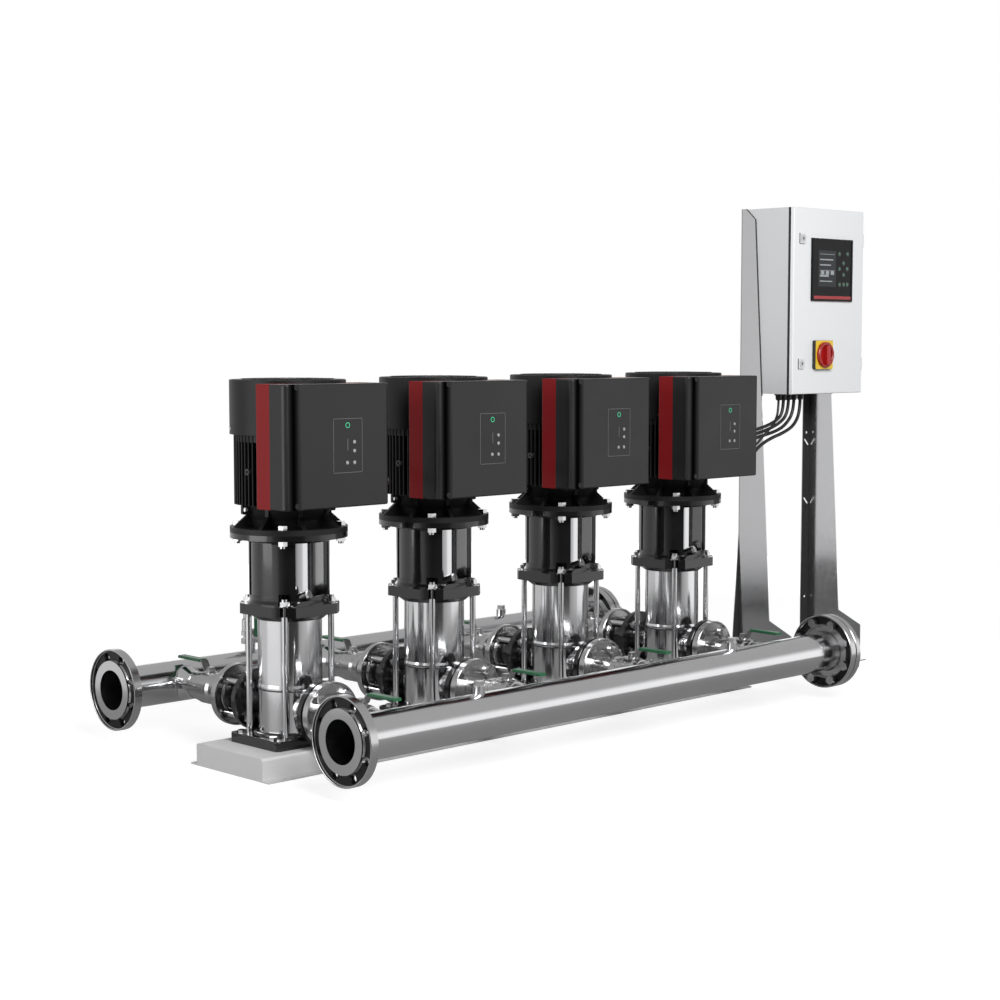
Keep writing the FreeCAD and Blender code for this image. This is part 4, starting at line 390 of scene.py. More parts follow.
PLUG_GREY = coat_finish("motor_plug", (0.05, 0.05, 0.05), 0.35, dust=0.0)
SCREW_BRIGHT = metal_finish("bright_screws", (0.55, 0.55, 0.56), 0.3)
DISPLAY_BLACK = coat_finish("display_black", (0.005, 0.005, 0.006), 0.25, 900, 0.1, dust=0.0, bump=0.02,
                            specular=0.12)
SLEEVE_STEEL = metal_finish("sleeve_stainless", (0.63, 0.63, 0.64), 0.12, 900, 0.3, 0.06)
LEVER_GREEN = metal_finish("lever_steel_and_sleeve", (0.45, 0.45, 0.45), 0.3)
COCK_GREEN = coat_finish("cock_green_sleeve", (0.008, 0.1, 0.04), 0.35)
# Painted light: the door is a lighter grey than the body, standing in for the light on the door's front
DOOR_LIT_GREY = coat_finish("door_lit_paint_and_gasket", (0.74, 0.75, 0.76), 0.42, 1100, 0.3, 0.02, dust=0.0, bump=0.06)

# Two finishes on one piece, split by place
EVERYWHERE = 2.0
SEAL_LOW = 0.1958
SEAL_HIGH = 0.1982
SEAL_BLACK = (0.012, 0.012, 0.012)
two_tone(SLEEVE_STEEL, lambda tree: band_mask(tree, "Z", SEAL_LOW, SEAL_HIGH), SEAL_BLACK, 0.5, 0.0)
GRIP_LOW = 0.2145
GRIP_START = 33.0
SUCTION_STEM_Y = -284.0
DISCHARGE_STEM_Y = 348.0
LEVER_GREEN_COLOUR = (0.008, 0.085, 0.032)


def grip_mask(tree):
    """The plastic sleeves of the levers, which point away from the pumps at rest."""
    high = band_mask(tree, "Z", GRIP_LOW, EVERYWHERE)
    front = band_mask(tree, "Y", -EVERYWHERE, at(0, SUCTION_STEM_Y - GRIP_START, 0).y)
    rear = band_mask(tree, "Y", at(0, DISCHARGE_STEM_Y + GRIP_START, 0).y, EVERYWHERE)
    return math_node(tree, "MULTIPLY", high, math_node(tree, "ADD", front, rear))


two_tone(LEVER_GREEN, grip_mask, LEVER_GREEN_COLOUR, 0.35, 0.0)
# Painted shade: the body's front edge behind the door is painted black for the shade in the gap between door
# and body
DOOR_GAP_SHADE_END = at(0, -77.5, 0).y
DOOR_GAP_SHADE_BLACK = (0.008, 0.008, 0.008)
two_tone(CABINET_GREY, lambda tree: band_mask(tree, "Y", -EVERYWHERE, DOOR_GAP_SHADE_END), DOOR_GAP_SHADE_BLACK, 0.6, 0.0)
POST_FLANGE_FACE = at(0, 109.0, 0).y
FACE_MARGIN = 0.0006
FLANGE_DARK = (0.012, 0.012, 0.012)


def post_flange_mask(tree):
    """The front faces of the posts' rear flanges, which lie in shade between the posts."""
    return band_mask(tree, "Y", POST_FLANGE_FACE - FACE_MARGIN, POST_FLANGE_FACE + FACE_MARGIN)


two_tone(POST_GREY, post_flange_mask, FLANGE_DARK, 0.5, 0.0)
HEADER_RADIUS = 57.15
PORT_Z = 148.0
SUCTION_Y = -441.0
DISCHARGE_Y = 505.0
HEADER_AXES = [(at(0, y, 0).y, PORT_Z / 1000) for y in (SUCTION_Y, DISCHARGE_Y)]
CHANNEL_INNER = 0.0815
CHANNEL_OUTER = 0.1045
CHANNEL_DARK = (0.035, 0.035, 0.036)
LOOSE_FLANGE_STEEL = metal_finish("loose_flange_steel", (0.55, 0.55, 0.55), 0.22, 700, 0.3, 0.1)


def channel_mask(tree):
    """The pressed channel round each loose flange, which lies in its own shade."""
    return ring_mask(tree, HEADER_AXES, CHANNEL_INNER, CHANNEL_OUTER)


two_tone(LOOSE_FLANGE_STEEL, channel_mask, CHANNEL_DARK, 0.35, 1.0)
GROOVE_MIDDLE = -138.0
GROOVE_HALF = 20.0
GROOVE_END_Y = -195.0
GROOVE_SHADE_BLACK = (0.0008, 0.0008, 0.0008)


def groove_shade_mask(tree):
    """The matt groove down the left of each drive cover, painted black for its shade, darkest at its middle.
    """
    parts = place_parts(tree)
    start = at(GROOVE_MIDDLE - PUMP_PITCH / 2, 0, 0).x
    along = math_node(tree, "SUBTRACT", parts["X"], start)
    along = math_node(tree, "MODULO", along, PUMP_PITCH / 1000)
    away = math_node(tree, "ABSOLUTE", math_node(tree, "SUBTRACT", along, PUMP_PITCH / 2000))
    share = math_node(tree, "DIVIDE", away, GROOVE_HALF / 1000, True)
    share = math_node(tree, "SUBTRACT", 1.0, math_node(tree, "POWER", share, 2.0))
    front = math_node(tree, "LESS_THAN", parts["Y"], at(0, GROOVE_END_Y, 0).y)
    return math_node(tree, "MULTIPLY", share, front)


# Painted shade: the groove's colour is taken towards black, deepest at its middle
two_tone(DRIVE_DARK, groove_shade_mask, GROOVE_SHADE_BLACK, 0.75, 0.0)


def dull_groove(material, shine):
    """Takes the shine off the groove."""
    tree = material.node_tree
    left = math_node(tree, "MULTIPLY", math_node(tree, "SUBTRACT", 1.0, groove_shade_mask(tree)), shine)
    tree.links.new(left, tree.nodes["Principled BSDF"].inputs["Specular IOR Level"])


dull_groove(DRIVE_DARK, DRIVE_SHINE)
DOOR_BACK = at(0, -86.9, 0).y
DOOR_SEAL_BLACK = (0.02, 0.02, 0.02)
two_tone(DOOR_LIT_GREY, lambda tree: band_mask(tree, "Y", DOOR_BACK, EVERYWHERE), DOOR_SEAL_BLACK, 0.6, 0.0)

FINISH_OF_NODE = {
    "base_frame": BASE_GREY, "cabinet_stand": POST_GREY, "foot_plates": GLOSS_BLACK,
    "motor_stools": GLOSS_BLACK, "port_flanges": GLOSS_BLACK, "check_valve_bodies": GLOSS_BLACK,
    "pump_housings": STAINLESS, "pump_sleeves": SLEEVE_STEEL, "coupling_guards": STAINLESS,
    "suction_manifold": PIPE_STEEL, "discharge_manifold": PIPE_STEEL, "counter_flanges": PRESSED_STEEL,
    "manifold_flanges": LOOSE_FLANGE_STEEL, "staybolts": BRIGHT_ROD, "bolts_and_nuts": BOLT_ZINC,
    "fan_covers": MOTOR_BLACK, "valve_bodies": VALVE_STEEL, "manifold_fittings": VALVE_STEEL,
    "cabinet_body": CABINET_GREY, "cabinet_door": DOOR_LIT_GREY, "cabinet_gear": GEAR_GREY,
    "operator_panels": DISPLAY_BLACK, "main_switch": SWITCH_RED, "door_lock_lower": LOCK_NICKEL,
    "door_lock_upper": LOCK_NICKEL, "cable_glands": GLAND_BLACK, "cock_lever": COCK_GREEN,
}
for pump in range(1, PUMP_COUNT + 1):
    FINISH_OF_NODE["pump_%d_motor" % pump] = MOTOR_BLACK
    FINISH_OF_NODE["pump_%d_drive_case" % pump] = DRIVE_RED
    FINISH_OF_NODE["pump_%d_drive_cover" % pump] = DRIVE_DARK
    FINISH_OF_NODE["pump_%d_rotor" % pump] = BRIGHT_ROD
    FINISH_OF_NODE["suction_lever_%d" % pump] = LEVER_GREEN
    FINISH_OF_NODE["discharge_lever_%d" % pump] = LEVER_GREEN
    FINISH_OF_NODE["check_disc_%d" % pump] = STAINLESS
for name, finish in FINISH_OF_NODE.items():
    for slot in nodes[name].material_slots:
        slot.material = finish

for number, route in enumerate(cable_routes(), 1):
    make_cable(number, route, SIGNAL_DIAMETER if number == 5 else CABLE_DIAMETER, RUBBER)


# Pieces in mesh code
def mesh_piece(name, build, material, body):
    """A piece at the origin whose mesh a function fills in, in metres in the row frame."""
    shape = bmesh.new()
    build(shape)
    bmesh.ops.recalc_face_normals(shape, faces=shape.faces)
    mesh = bpy.data.meshes.new(name)
    shape.to_mesh(mesh)
    shape.free()
    mesh.materials.append(material)
    piece = bpy.data.objects.new(name, mesh)
    bpy.context.collection.objects.link(piece)
    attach(piece, body)
    return piece


def join_rings(shape, rings):
    """Faces between each closed ring of points and the next one."""
    for ring, following in zip(rings, rings[1:]):
        for i in range(len(ring)):
            j = (i + 1) % len(ring)
            shape.faces.new((ring[i], ring[j], following[j], following[i]))


def cap_ends(shape, rings):
    shape.faces.new(rings[-1])
    shape.faces.new(list(reversed(rings[0])))


def outline_rings(shape, x, z, levels):
    """A ring of points at each level, from outlines across X and Z round a middle."""
    return [[shape.verts.new(at(x + px, y, z + pz)) for px, pz in outline] for outline, y in levels]


def circle_outline(radius, steps):
    angles = [2 * math.pi * step / steps for step in range(steps)]
    return [(radius * math.cos(angle), radius * math.sin(angle)) for angle in angles]


def rounded_outline(half_width, half_height, radius, steps=5):
    points = []
    for quarter, (sx, sz) in enumerate(((1, 1), (-1, 1), (-1, -1), (1, -1))):
        for step in range(steps + 1):
            angle = math.radians(90 * quarter + 90 * step / steps)
            points.append((sx * (half_width - radius) + radius * math.cos(angle),
                           sz * (half_height - radius) + radius * math.sin(angle)))
    return points


def add_frame(shape, x, y, z, half_width, half_height, line, depth, radius):
    """Raised line round a rounded rectangle facing -Y."""
    outer = rounded_outline(half_width, half_height, radius)
    inner = rounded_outline(half_width - line, half_height - line, radius - line)
    rings = outline_rings(shape, x, z, ((outer, y), (outer, y - depth), (inner, y - depth), (inner, y)))
    join_rings(shape, rings + rings[:1])


def add_plate(shape, x, y, z, half_width, half_height, depth, radius):
    """Flat plate with rounded corners facing -Y."""
    outline = rounded_outline(half_width, half_height, radius)
    rings = outline_rings(shape, x, z, ((outline, y), (outline, y - depth)))
    join_rings(shape, rings)
    cap_ends(shape, rings)


# Repeats made with Geometry Nodes
POINT_VECTOR = "point_vector"
STUD_SIDES = 20
STUD_TAPER = 0.86
WELD_STEPS = 150
WELD_SIDES = 8
WELD_RIPPLE_TURN = 2.1


def start_tree(name, sizes):
    """An empty tree that takes a mesh, some sizes and a material."""
    tree = bpy.data.node_groups.new(name, "GeometryNodeTree")
    tree.interface.new_socket("Geometry", in_out="INPUT", socket_type="NodeSocketGeometry")
    for label in sizes:
        tree.interface.new_socket(label, in_out="INPUT", socket_type="NodeSocketFloat")
    tree.interface.new_socket("Material", in_out="INPUT", socket_type="NodeSocketMaterial")
    tree.interface.new_socket("Geometry", in_out="OUTPUT", socket_type="NodeSocketGeometry")
    return tree, tree.nodes.new("NodeGroupInput")


def finish_tree(tree, given, shape):
    """Makes the copies real and gives them the material."""
    real = tree.nodes.new("GeometryNodeRealizeInstances")
    paint = tree.nodes.new("GeometryNodeSetMaterial")
    result = tree.nodes.new("NodeGroupOutput")
    tree.links.new(shape, real.inputs[0])
    tree.links.new(real.outputs[0], paint.inputs["Geometry"])
    tree.links.new(given.outputs["Material"], paint.inputs["Material"])
    tree.links.new(paint.outputs[0], result.inputs[0])
    return tree


def point_vector(tree):
    """The vector that each point carries."""
    attribute = tree.nodes.new("GeometryNodeInputNamedAttribute")
    attribute.data_type = "FLOAT_VECTOR"
    attribute.inputs["Name"].default_value = POINT_VECTOR
    return attribute.outputs["Attribute"]


def stud_tree(name):
    """Small round studs with a chamfer, one on each point of a mesh, along the point's vector."""
    tree, given = start_tree(name, ["Radius", "Depth"])
    cone = tree.nodes.new("GeometryNodeMeshCone")
    cone.inputs["Vertices"].default_value = STUD_SIDES
    tip = math_node(tree, "MULTIPLY", given.outputs["Radius"], STUD_TAPER)
    tree.links.new(tip, cone.inputs["Radius Top"])
    tree.links.new(given.outputs["Radius"], cone.inputs["Radius Bottom"])
    tree.links.new(given.outputs["Depth"], cone.inputs["Depth"])
    turn = tree.nodes.new("FunctionNodeAlignRotationToVector")
    turn.axis = "Z"
    tree.links.new(point_vector(tree), turn.inputs["Vector"])
    place = tree.nodes.new("GeometryNodeInstanceOnPoints")
    tree.links.new(given.outputs["Geometry"], place.inputs["Points"])
    tree.links.new(cone.outputs["Mesh"], place.inputs["Instance"])
    tree.links.new(turn.outputs[0], place.inputs["Rotation"])
    return finish_tree(tree, given, place.outputs[0])


def block_tree(name):
    """A block on each point of a mesh, with its three sides from the point's vector."""
    tree, given = start_tree(name, [])
    cube = tree.nodes.new("GeometryNodeMeshCube")
    cube.inputs["Size"].default_value = (1, 1, 1)
    place = tree.nodes.new("GeometryNodeInstanceOnPoints")
    tree.links.new(given.outputs["Geometry"], place.inputs["Points"])
    tree.links.new(cube.outputs["Mesh"], place.inputs["Instance"])
    tree.links.new(point_vector(tree), place.inputs["Scale"])
    return finish_tree(tree, given, place.outputs[0])


def weld_tree(name):
    """Bead of weld along the edges of a mesh: a round section with ripples."""
    tree, given = start_tree(name, ["Width", "Ripple"])
    line = tree.nodes.new("GeometryNodeMeshToCurve")
    again = tree.nodes.new("GeometryNodeResampleCurve")
    again.inputs["Count"].default_value = WELD_STEPS
    index = tree.nodes.new("GeometryNodeInputIndex")
    wave = math_node(tree, "SINE", math_node(tree, "MULTIPLY", index.outputs[0], WELD_RIPPLE_TURN))
    size = math_node(tree, "MULTIPLY", wave, given.outputs["Ripple"])
    size = math_node(tree, "ADD", size, given.outputs["Width"])
    radius = tree.nodes.new("GeometryNodeSetCurveRadius")
    circle = tree.nodes.new("GeometryNodeCurvePrimitiveCircle")
    circle.inputs["Resolution"].default_value = WELD_SIDES
    circle.inputs["Radius"].default_value = 1.0
    sweep = tree.nodes.new("GeometryNodeCurveToMesh")
    tree.links.new(given.outputs["Geometry"], line.inputs["Mesh"])
    tree.links.new(line.outputs["Curve"], again.inputs["Curve"])
    tree.links.new(again.outputs["Curve"], radius.inputs["Curve"])
    tree.links.new(size, radius.inputs["Radius"])
    tree.links.new(radius.outputs["Curve"], sweep.inputs["Curve"])
    tree.links.new(circle.outputs["Curve"], sweep.inputs["Profile Curve"])
    if "Scale" in sweep.inputs:
        tree.links.new(size, sweep.inputs["Scale"])
    return finish_tree(tree, given, sweep.outputs["Mesh"])


def grown_piece(name, points, edges, tree, sizes, material, body, vectors=None):
    """Runs a Geometry Nodes tree on points and edges and keeps the plain mesh it makes.
    Each point's vector is towards the front where none is given."""
    seed = bpy.data.meshes.new(name + "_points")
    seed.from_pydata([tuple(point) for point in points], edges, [])
    carried = seed.attributes.new(POINT_VECTOR, "FLOAT_VECTOR", "POINT")
    for index in range(len(points)):
        carried.data[index].vector = vectors[index] if vectors else (0, -1, 0)
    carrier = bpy.data.objects.new(name + "_points", seed)
    bpy.context.collection.objects.link(carrier)
    modifier = carrier.modifiers.new("grow", "NODES")
    modifier.node_group = tree
    inputs = {item.name: item.identifier for item in tree.interface.items_tree if item.in_out == "INPUT"}
    for label, value in sizes.items():
        modifier[inputs[label]] = value
    modifier[inputs["Material"]] = material
    ready = carrier.evaluated_get(bpy.context.evaluated_depsgraph_get())
    mesh = bpy.data.meshes.new_from_object(ready)
    mesh.name = name
    bpy.data.objects.remove(carrier)
    piece = bpy.data.objects.new(name, mesh)
    bpy.context.collection.objects.link(piece)
    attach(piece, body)
    return piece


studs = stud_tree("round_studs")
fins = block_tree("motor_fins")
welds = weld_tree("weld_bead")

# Details of the drives
COVER_FRONT = -203.0
GROOVE_FLOOR = -198.8
GROOVE_X = -130.5
SCREW_HEIGHTS = (970.0, 682.0)
KEYPAD_X = 28.5
KEYPAD_Z = 824.5
KEYPAD_HALF_WIDTH = 46.5
KEYPAD_HALF_HEIGHT = 67.5
KEYPAD_LINE = 1.1
KEYPAD_CORNER = 3.0
BAR_X = 28.0
BAR_Z = 825.5
BAR_HALF_HEIGHT = 14.5
LIGHT_PLACE = (28, 875)
LIGHT_RADIUS = 7.0
LIGHT_LINE = 1.8
KEY_PLACES = ((50, 833), (50, 811), (27, 782), (50, 782))
KEY_SINK = 0.05
KEY_SIZE = {"Radius": 0.0046, "Depth": 0.0005}
GROOVE_SCREW_RISE = 2.0
GROOVE_SCREW_SIZE = {"Radius": 0.0085, "Depth": 0.0055}
LINE_GREY = coat_finish("keypad_line", (0.11, 0.11, 0.115), 0.45, dust=0.0)
KEY_GREY = coat_finish("keypad_keys", (0.26, 0.26, 0.27), 0.4, dust=0.0)


def glow(name, colour, strength):
    material = coat_finish(name, colour, 0.3, dust=0.0)
    shader = material.node_tree.nodes["Principled BSDF"]
    shader.inputs["Emission Color"].default_value = (*colour, 1)
    shader.inputs["Emission Strength"].default_value = strength
    return material


LIGHT_GREEN = glow("status_light", (0.03, 0.34, 0.17), 0.5)


def dress_drive(number, pump_x):
    """The keypad's line, bar, light and keys, and the two screws in the groove."""
    def keypad(shape):
        add_frame(shape, pump_x + KEYPAD_X, COVER_FRONT, KEYPAD_Z, KEYPAD_HALF_WIDTH, KEYPAD_HALF_HEIGHT,
                  KEYPAD_LINE, 0.35, KEYPAD_CORNER)
        add_plate(shape, pump_x + BAR_X, COVER_FRONT, BAR_Z, 0.9, BAR_HALF_HEIGHT, 0.3, 0.8)

    def light(shape):
        add_frame(shape, pump_x + LIGHT_PLACE[0], COVER_FRONT, LIGHT_PLACE[1], LIGHT_RADIUS, LIGHT_RADIUS,
                  LIGHT_LINE, 0.4, LIGHT_RADIUS - 0.1)

    name = "drive_%d_" % number
    mesh_piece(name + "keypad_line", keypad, LINE_GREY, "set")
    mesh_piece(name + "status_light", light, LIGHT_GREEN, "set")
    keys = [at(pump_x + x, COVER_FRONT - KEY_SINK, z) for x, z in KEY_PLACES]
    grown_piece(name + "keys", keys, [], studs, KEY_SIZE, KEY_GREY, "set")
    screws = [at(pump_x + GROOVE_X, GROOVE_FLOOR + GROOVE_SCREW_RISE, z) for z in SCREW_HEIGHTS]
    grown_piece(name + "screws", screws, [], studs, GROOVE_SCREW_SIZE, SCREW_BLACK, "set")


for number, pump_x in enumerate(PUMP_X, 1):
    dress_drive(number, pump_x)

# Fins of the motors, drawn out to the fan cover, and the small screws round the fan cover
FIN_PITCH = 13.8
FIN_THICKNESS = 4.0
FIN_COUNT = 11
FIN_FIRST_Y = -41.5
FIN_ROOT_RADIUS = 117.0
FIN_TIP_RADIUS = 137.5
FIN_LOW = 671.5
FIN_HIGH = 848.5
COVER_RADIUS = 148.0
COVER_SCREW_ANGLES = (24, 156, 204, 336)
COVER_SCREW_Z = 863.0
COVER_SCREW_SIZE = {"Radius": 0.0045, "Depth": 0.0022}


def fin_reach(across):
    """Where a fin at some distance across the motor starts and ends."""
    return math.sqrt(FIN_ROOT_RADIUS ** 2 - across ** 2), math.sqrt(FIN_TIP_RADIUS ** 2 - across ** 2)


def dress_motor(number, pump_x):
    """The fins' rims at both sides and the rear, and the fan cover's screws."""
    name = "motor_%d_fins_" % number
    height = FIN_HIGH - FIN_LOW
    middle = (FIN_LOW + FIN_HIGH) / 2
    steps = [(step - (FIN_COUNT - 1) / 2) * FIN_PITCH for step in range(FIN_COUNT)]
    places = []
    sizes = []
    for y in steps:
        if y < FIN_FIRST_Y:
            continue
        root, tip = fin_reach(y)
        for side in (-1, 1):
            places.append(at(pump_x + side * (root + tip) / 2, y, middle))
            sizes.append(Vector((tip - root, FIN_THICKNESS, height)) / 1000)
    grown_piece(name + "side", places, [], fins, {}, MOTOR_BLACK, "set", sizes)
    places = []
    sizes = []
    for x in steps:
        root, tip = fin_reach(x)
        places.append(at(pump_x + x, (root + tip) / 2, middle))
        sizes.append(Vector((FIN_THICKNESS, tip - root, height)) / 1000)
    grown_piece(name + "rear", places, [], fins, {}, MOTOR_BLACK, "set", sizes)
    turns = [math.radians(angle) for angle in COVER_SCREW_ANGLES]
    facings = [Vector((math.cos(turn), math.sin(turn), 0)) for turn in turns]
    screws = [at(pump_x + COVER_RADIUS * facing.x, COVER_RADIUS * facing.y, COVER_SCREW_Z)
              for facing in facings]
    grown_piece("fan_cover_%d_screws" % number, screws, [], studs, COVER_SCREW_SIZE, SCREW_BRIGHT, "set",
                facings)


# The ring-shaped plug on the left fins
PLUG_Y = -11.0
PLUG_Z = 757.0
PLUG_RADIUS = 8.0
PLUG_HOLE = 4.5
PLUG_HOLE_DEPTH = 4.0
PLUG_OUT = 2.0
PLUG_STEPS = 20


def motor_plug(shape, pump_x):
    outer = pump_x - FIN_TIP_RADIUS - PLUG_OUT
    levels = ((PLUG_RADIUS, pump_x - FIN_ROOT_RADIUS), (PLUG_RADIUS, outer), (PLUG_HOLE, outer),
              (PLUG_HOLE, outer + PLUG_HOLE_DEPTH))
    rings = []
    for radius, x in levels:
        outline = circle_outline(radius, PLUG_STEPS)
        rings.append([shape.verts.new(at(x, PLUG_Y + py, PLUG_Z + pz)) for py, pz in outline])
    join_rings(shape, rings)
    cap_ends(shape, rings)


for number, pump_x in enumerate(PUMP_X, 1):
    dress_motor(number, pump_x)
    mesh_piece("motor_%d_plug" % number, lambda shape: motor_plug(shape, pump_x), PLUG_GREY, "set")

# Weld beads where the branch necks meet the headers
NECK_ROOT_RADIUS = 46.0
SEAM_STEPS = 72
WELD_SIZE = {"Width": 0.0016, "Ripple": 0.0003}


def neck_seam(pump_x, header_y, side):
    """Closed line where a neck's root cylinder meets the header's surface."""
    points = []
    for step in range(SEAM_STEPS):
        angle = 2 * math.pi * step / SEAM_STEPS
        across = NECK_ROOT_RADIUS * math.cos(angle)
        height = NECK_ROOT_RADIUS * math.sin(angle)
        reach = math.sqrt(HEADER_RADIUS ** 2 - height ** 2)
        points.append(at(pump_x + across, header_y - side * reach, PORT_Z + height))
    edges = [(step, (step + 1) % SEAM_STEPS) for step in range(SEAM_STEPS)]
    return points, edges


for side, header_y, line in ((-1, SUCTION_Y, "suction"), (1, DISCHARGE_Y, "discharge")):
    for number, pump_x in enumerate(PUMP_X, 1):
        points, edges = neck_seam(pump_x, header_y, side)
        grown_piece("%s_weld_%d" % (line, number), points, edges, welds, WELD_SIZE, PIPE_STEEL, "set")

# Details of the cabinet's front
PANEL_FACE = -105.5
LCD_X = 2143.0
LCD_Z = 1319.5
LCD_HALF_WIDTH = 48.0
LCD_HALF_HEIGHT = 58.5
LCD_DEPTH = 0.5
DISPLAY_KEYS = ((2210, 1369), (2255, 1370), (2233, 1339), (2211, 1320), (2253, 1321), (2234, 1301),
                (2213, 1269), (2235, 1270), (2255, 1270))
RING_RADIUS = 6.6
DISPLAY_KEY_SIZE = {"Radius": 0.0042, "Depth": 0.0006}
MENU_BARS = ((40, 0.7), (36, 2.0), (30, 2.0), (40, 0.7), (24, 3.0), (34, 1.6))
MENU_LEFT = 40.0
MENU_TOP = 1366.0
MENU_PITCH = 17.5
MENU_FIELDS = 3
FIELD_PITCH = 27.0
FIELD_Z = 1306.0
FIELD_HALF_WIDTH = 9.0
FIELD_HALF_HEIGHT = 6.0
STRIP_X = 2173.0
STRIP_Z = 1222.0
STRIP_HALF_WIDTH = 101.0
STRIP_HALF_HEIGHT = 8.5
LCD_GLASS = coat_finish("display_glass", (0.024, 0.027, 0.029), 0.25, dust=0.0, bump=0.01, specular=0.15)
LCD_MARK = coat_finish("display_marks", (0.3, 0.32, 0.33), 0.3, dust=0.0)
STRIP_RED = coat_finish("display_red_strip", (0.32, 0.014, 0.016), 0.3, dust=0.0)
KEY_RING = coat_finish("display_key_rings", (0.16, 0.17, 0.18), 0.35, dust=0.0)
KEY_GREEN = glow("display_key_light", (0.03, 0.14, 0.06), 0.1)


def display_glass(shape):
    add_plate(shape, LCD_X, PANEL_FACE, LCD_Z, LCD_HALF_WIDTH, LCD_HALF_HEIGHT, LCD_DEPTH, 3)


def display_marks(shape):
    """Plain rules and bars of a menu page, with no words."""
    face = PANEL_FACE - LCD_DEPTH
    for row, (width, height) in enumerate(MENU_BARS):
        z = MENU_TOP - row * MENU_PITCH
        add_plate(shape, LCD_X - MENU_LEFT + width, face, z, width, height, 0.2, 0.3)
    for column in range(MENU_FIELDS):
        x = LCD_X + (column - 1) * FIELD_PITCH + 1
        add_plate(shape, x, face, FIELD_Z, FIELD_HALF_WIDTH, FIELD_HALF_HEIGHT, 0.2, 1.0)


def display_strip(shape):
    add_plate(shape, STRIP_X, PANEL_FACE, STRIP_Z, STRIP_HALF_WIDTH, STRIP_HALF_HEIGHT, 0.5, 1.5)


def display_rings(shape):
    for x, z in DISPLAY_KEYS:
        add_frame(shape, x, PANEL_FACE, z, RING_RADIUS, RING_RADIUS, 1.0, 0.4, RING_RADIUS - 0.1)


# Main switch and locks
SWITCH_X = 2123.0
SWITCH_Z = 1039.0
SWITCH_HALF = 47.0
SWITCH_HOLE = 43.0
SWITCH_CORNER = 5.0
PLATE_FACE = -103.0
BLOCK_FACE = -113.0
FACE_INSET = 0.5
FACE_DEPTH = 1.0
DIAL_STEPS = 48
DIAL_RADIUS = 41.5
DIAL_CHAMFER = 2.0
DIAL_HOLE = 31.5
DIAL_BACK = -103.6
DIAL_FRONT = -124.0
DIAL_PROFILE = [(DIAL_RADIUS - DIAL_CHAMFER, DIAL_BACK), (DIAL_RADIUS, DIAL_BACK - 1.4),
                (DIAL_RADIUS, DIAL_FRONT + DIAL_CHAMFER), (DIAL_RADIUS - DIAL_CHAMFER, DIAL_FRONT),
                (DIAL_HOLE + 1.5, DIAL_FRONT), (DIAL_HOLE, DIAL_FRONT + 1.5), (DIAL_HOLE, -114.0),
                (DIAL_HOLE, DIAL_BACK)]
SWITCH_YELLOW = coat_finish("switch_yellow", (0.72, 0.5, 0.03), 0.4, 900, 0.2, dust=0.0)
DIAL_DARK = coat_finish("switch_dial_red", (0.3, 0.008, 0.008), 0.3, 900, 0.2, dust=0.0)
LOCK_X = 2018.0
LOCK_Z = (1413.5, 1010.5)
LOCK_HALF = 16.5
LOCK_HOLE = 12.6
DOOR_FACE = -100.0
# Black for the locks' key slots, and painted shadow along the lock plates' left and lower edges
LOCK_SLOT_AND_SHADOW = coat_finish("lock_slot_and_painted_shadow", (0.03, 0.03, 0.032), 0.5, dust=0.0)
LOCK_PALE = coat_finish("lock_plate", (0.66, 0.67, 0.68), 0.4, dust=0.0)


def add_holed_plate(shape, x, y, z, half, radius, hole, depth):
    """Square plate with rounded corners and a round hole, facing -Y."""
    outline = rounded_outline(half, half, radius)
    angles = [math.atan2(pz, px) for px, pz in outline]
    circle = [(hole * math.cos(angle), hole * math.sin(angle)) for angle in angles]
    front = y - depth
    rings = outline_rings(shape, x, z, ((outline, y), (outline, front), (circle, front), (circle, y)))
    join_rings(shape, rings + rings[:1])


def switch_block(shape):
    add_holed_plate(shape, SWITCH_X, PLATE_FACE, SWITCH_Z, SWITCH_HALF, SWITCH_CORNER, SWITCH_HOLE,
                    PLATE_FACE - BLOCK_FACE)


def switch_face(shape):
    add_holed_plate(shape, SWITCH_X, BLOCK_FACE, SWITCH_Z, SWITCH_HALF - FACE_INSET, SWITCH_CORNER,
                    SWITCH_HOLE, FACE_DEPTH)


def switch_dial(shape):
    """Turned ring round the handle's grip, open in the middle."""
    levels = [(circle_outline(radius, DIAL_STEPS), y) for radius, y in DIAL_PROFILE]
    rings = outline_rings(shape, SWITCH_X, SWITCH_Z, levels)
    join_rings(shape, rings + rings[:1])


def lock_plates(shape):
    for z in LOCK_Z:
        add_holed_plate(shape, LOCK_X, DOOR_FACE, z, LOCK_HALF, 2, LOCK_HOLE, 1.6)


def lock_plate_shadows(shape):
    """Painted shadow: dark edges at the left of and below each lock plate."""
    for z in LOCK_Z:
        add_plate(shape, LOCK_X - LOCK_HALF - 1.1, DOOR_FACE, z, 1.1, LOCK_HALF, 1.7, 0.4)
        add_plate(shape, LOCK_X - 4, DOOR_FACE, z - LOCK_HALF - 0.9, 12.5, 0.8, 1.7, 0.3)


def lock_slot(shape, node, z):
    """The black key slot in the lock's round front."""
    front = (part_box(node)[0][1] - ROW_Y) * 1000
    add_plate(shape, LOCK_X, front, z, 1.9, 5.2, 0.3, 0.8)


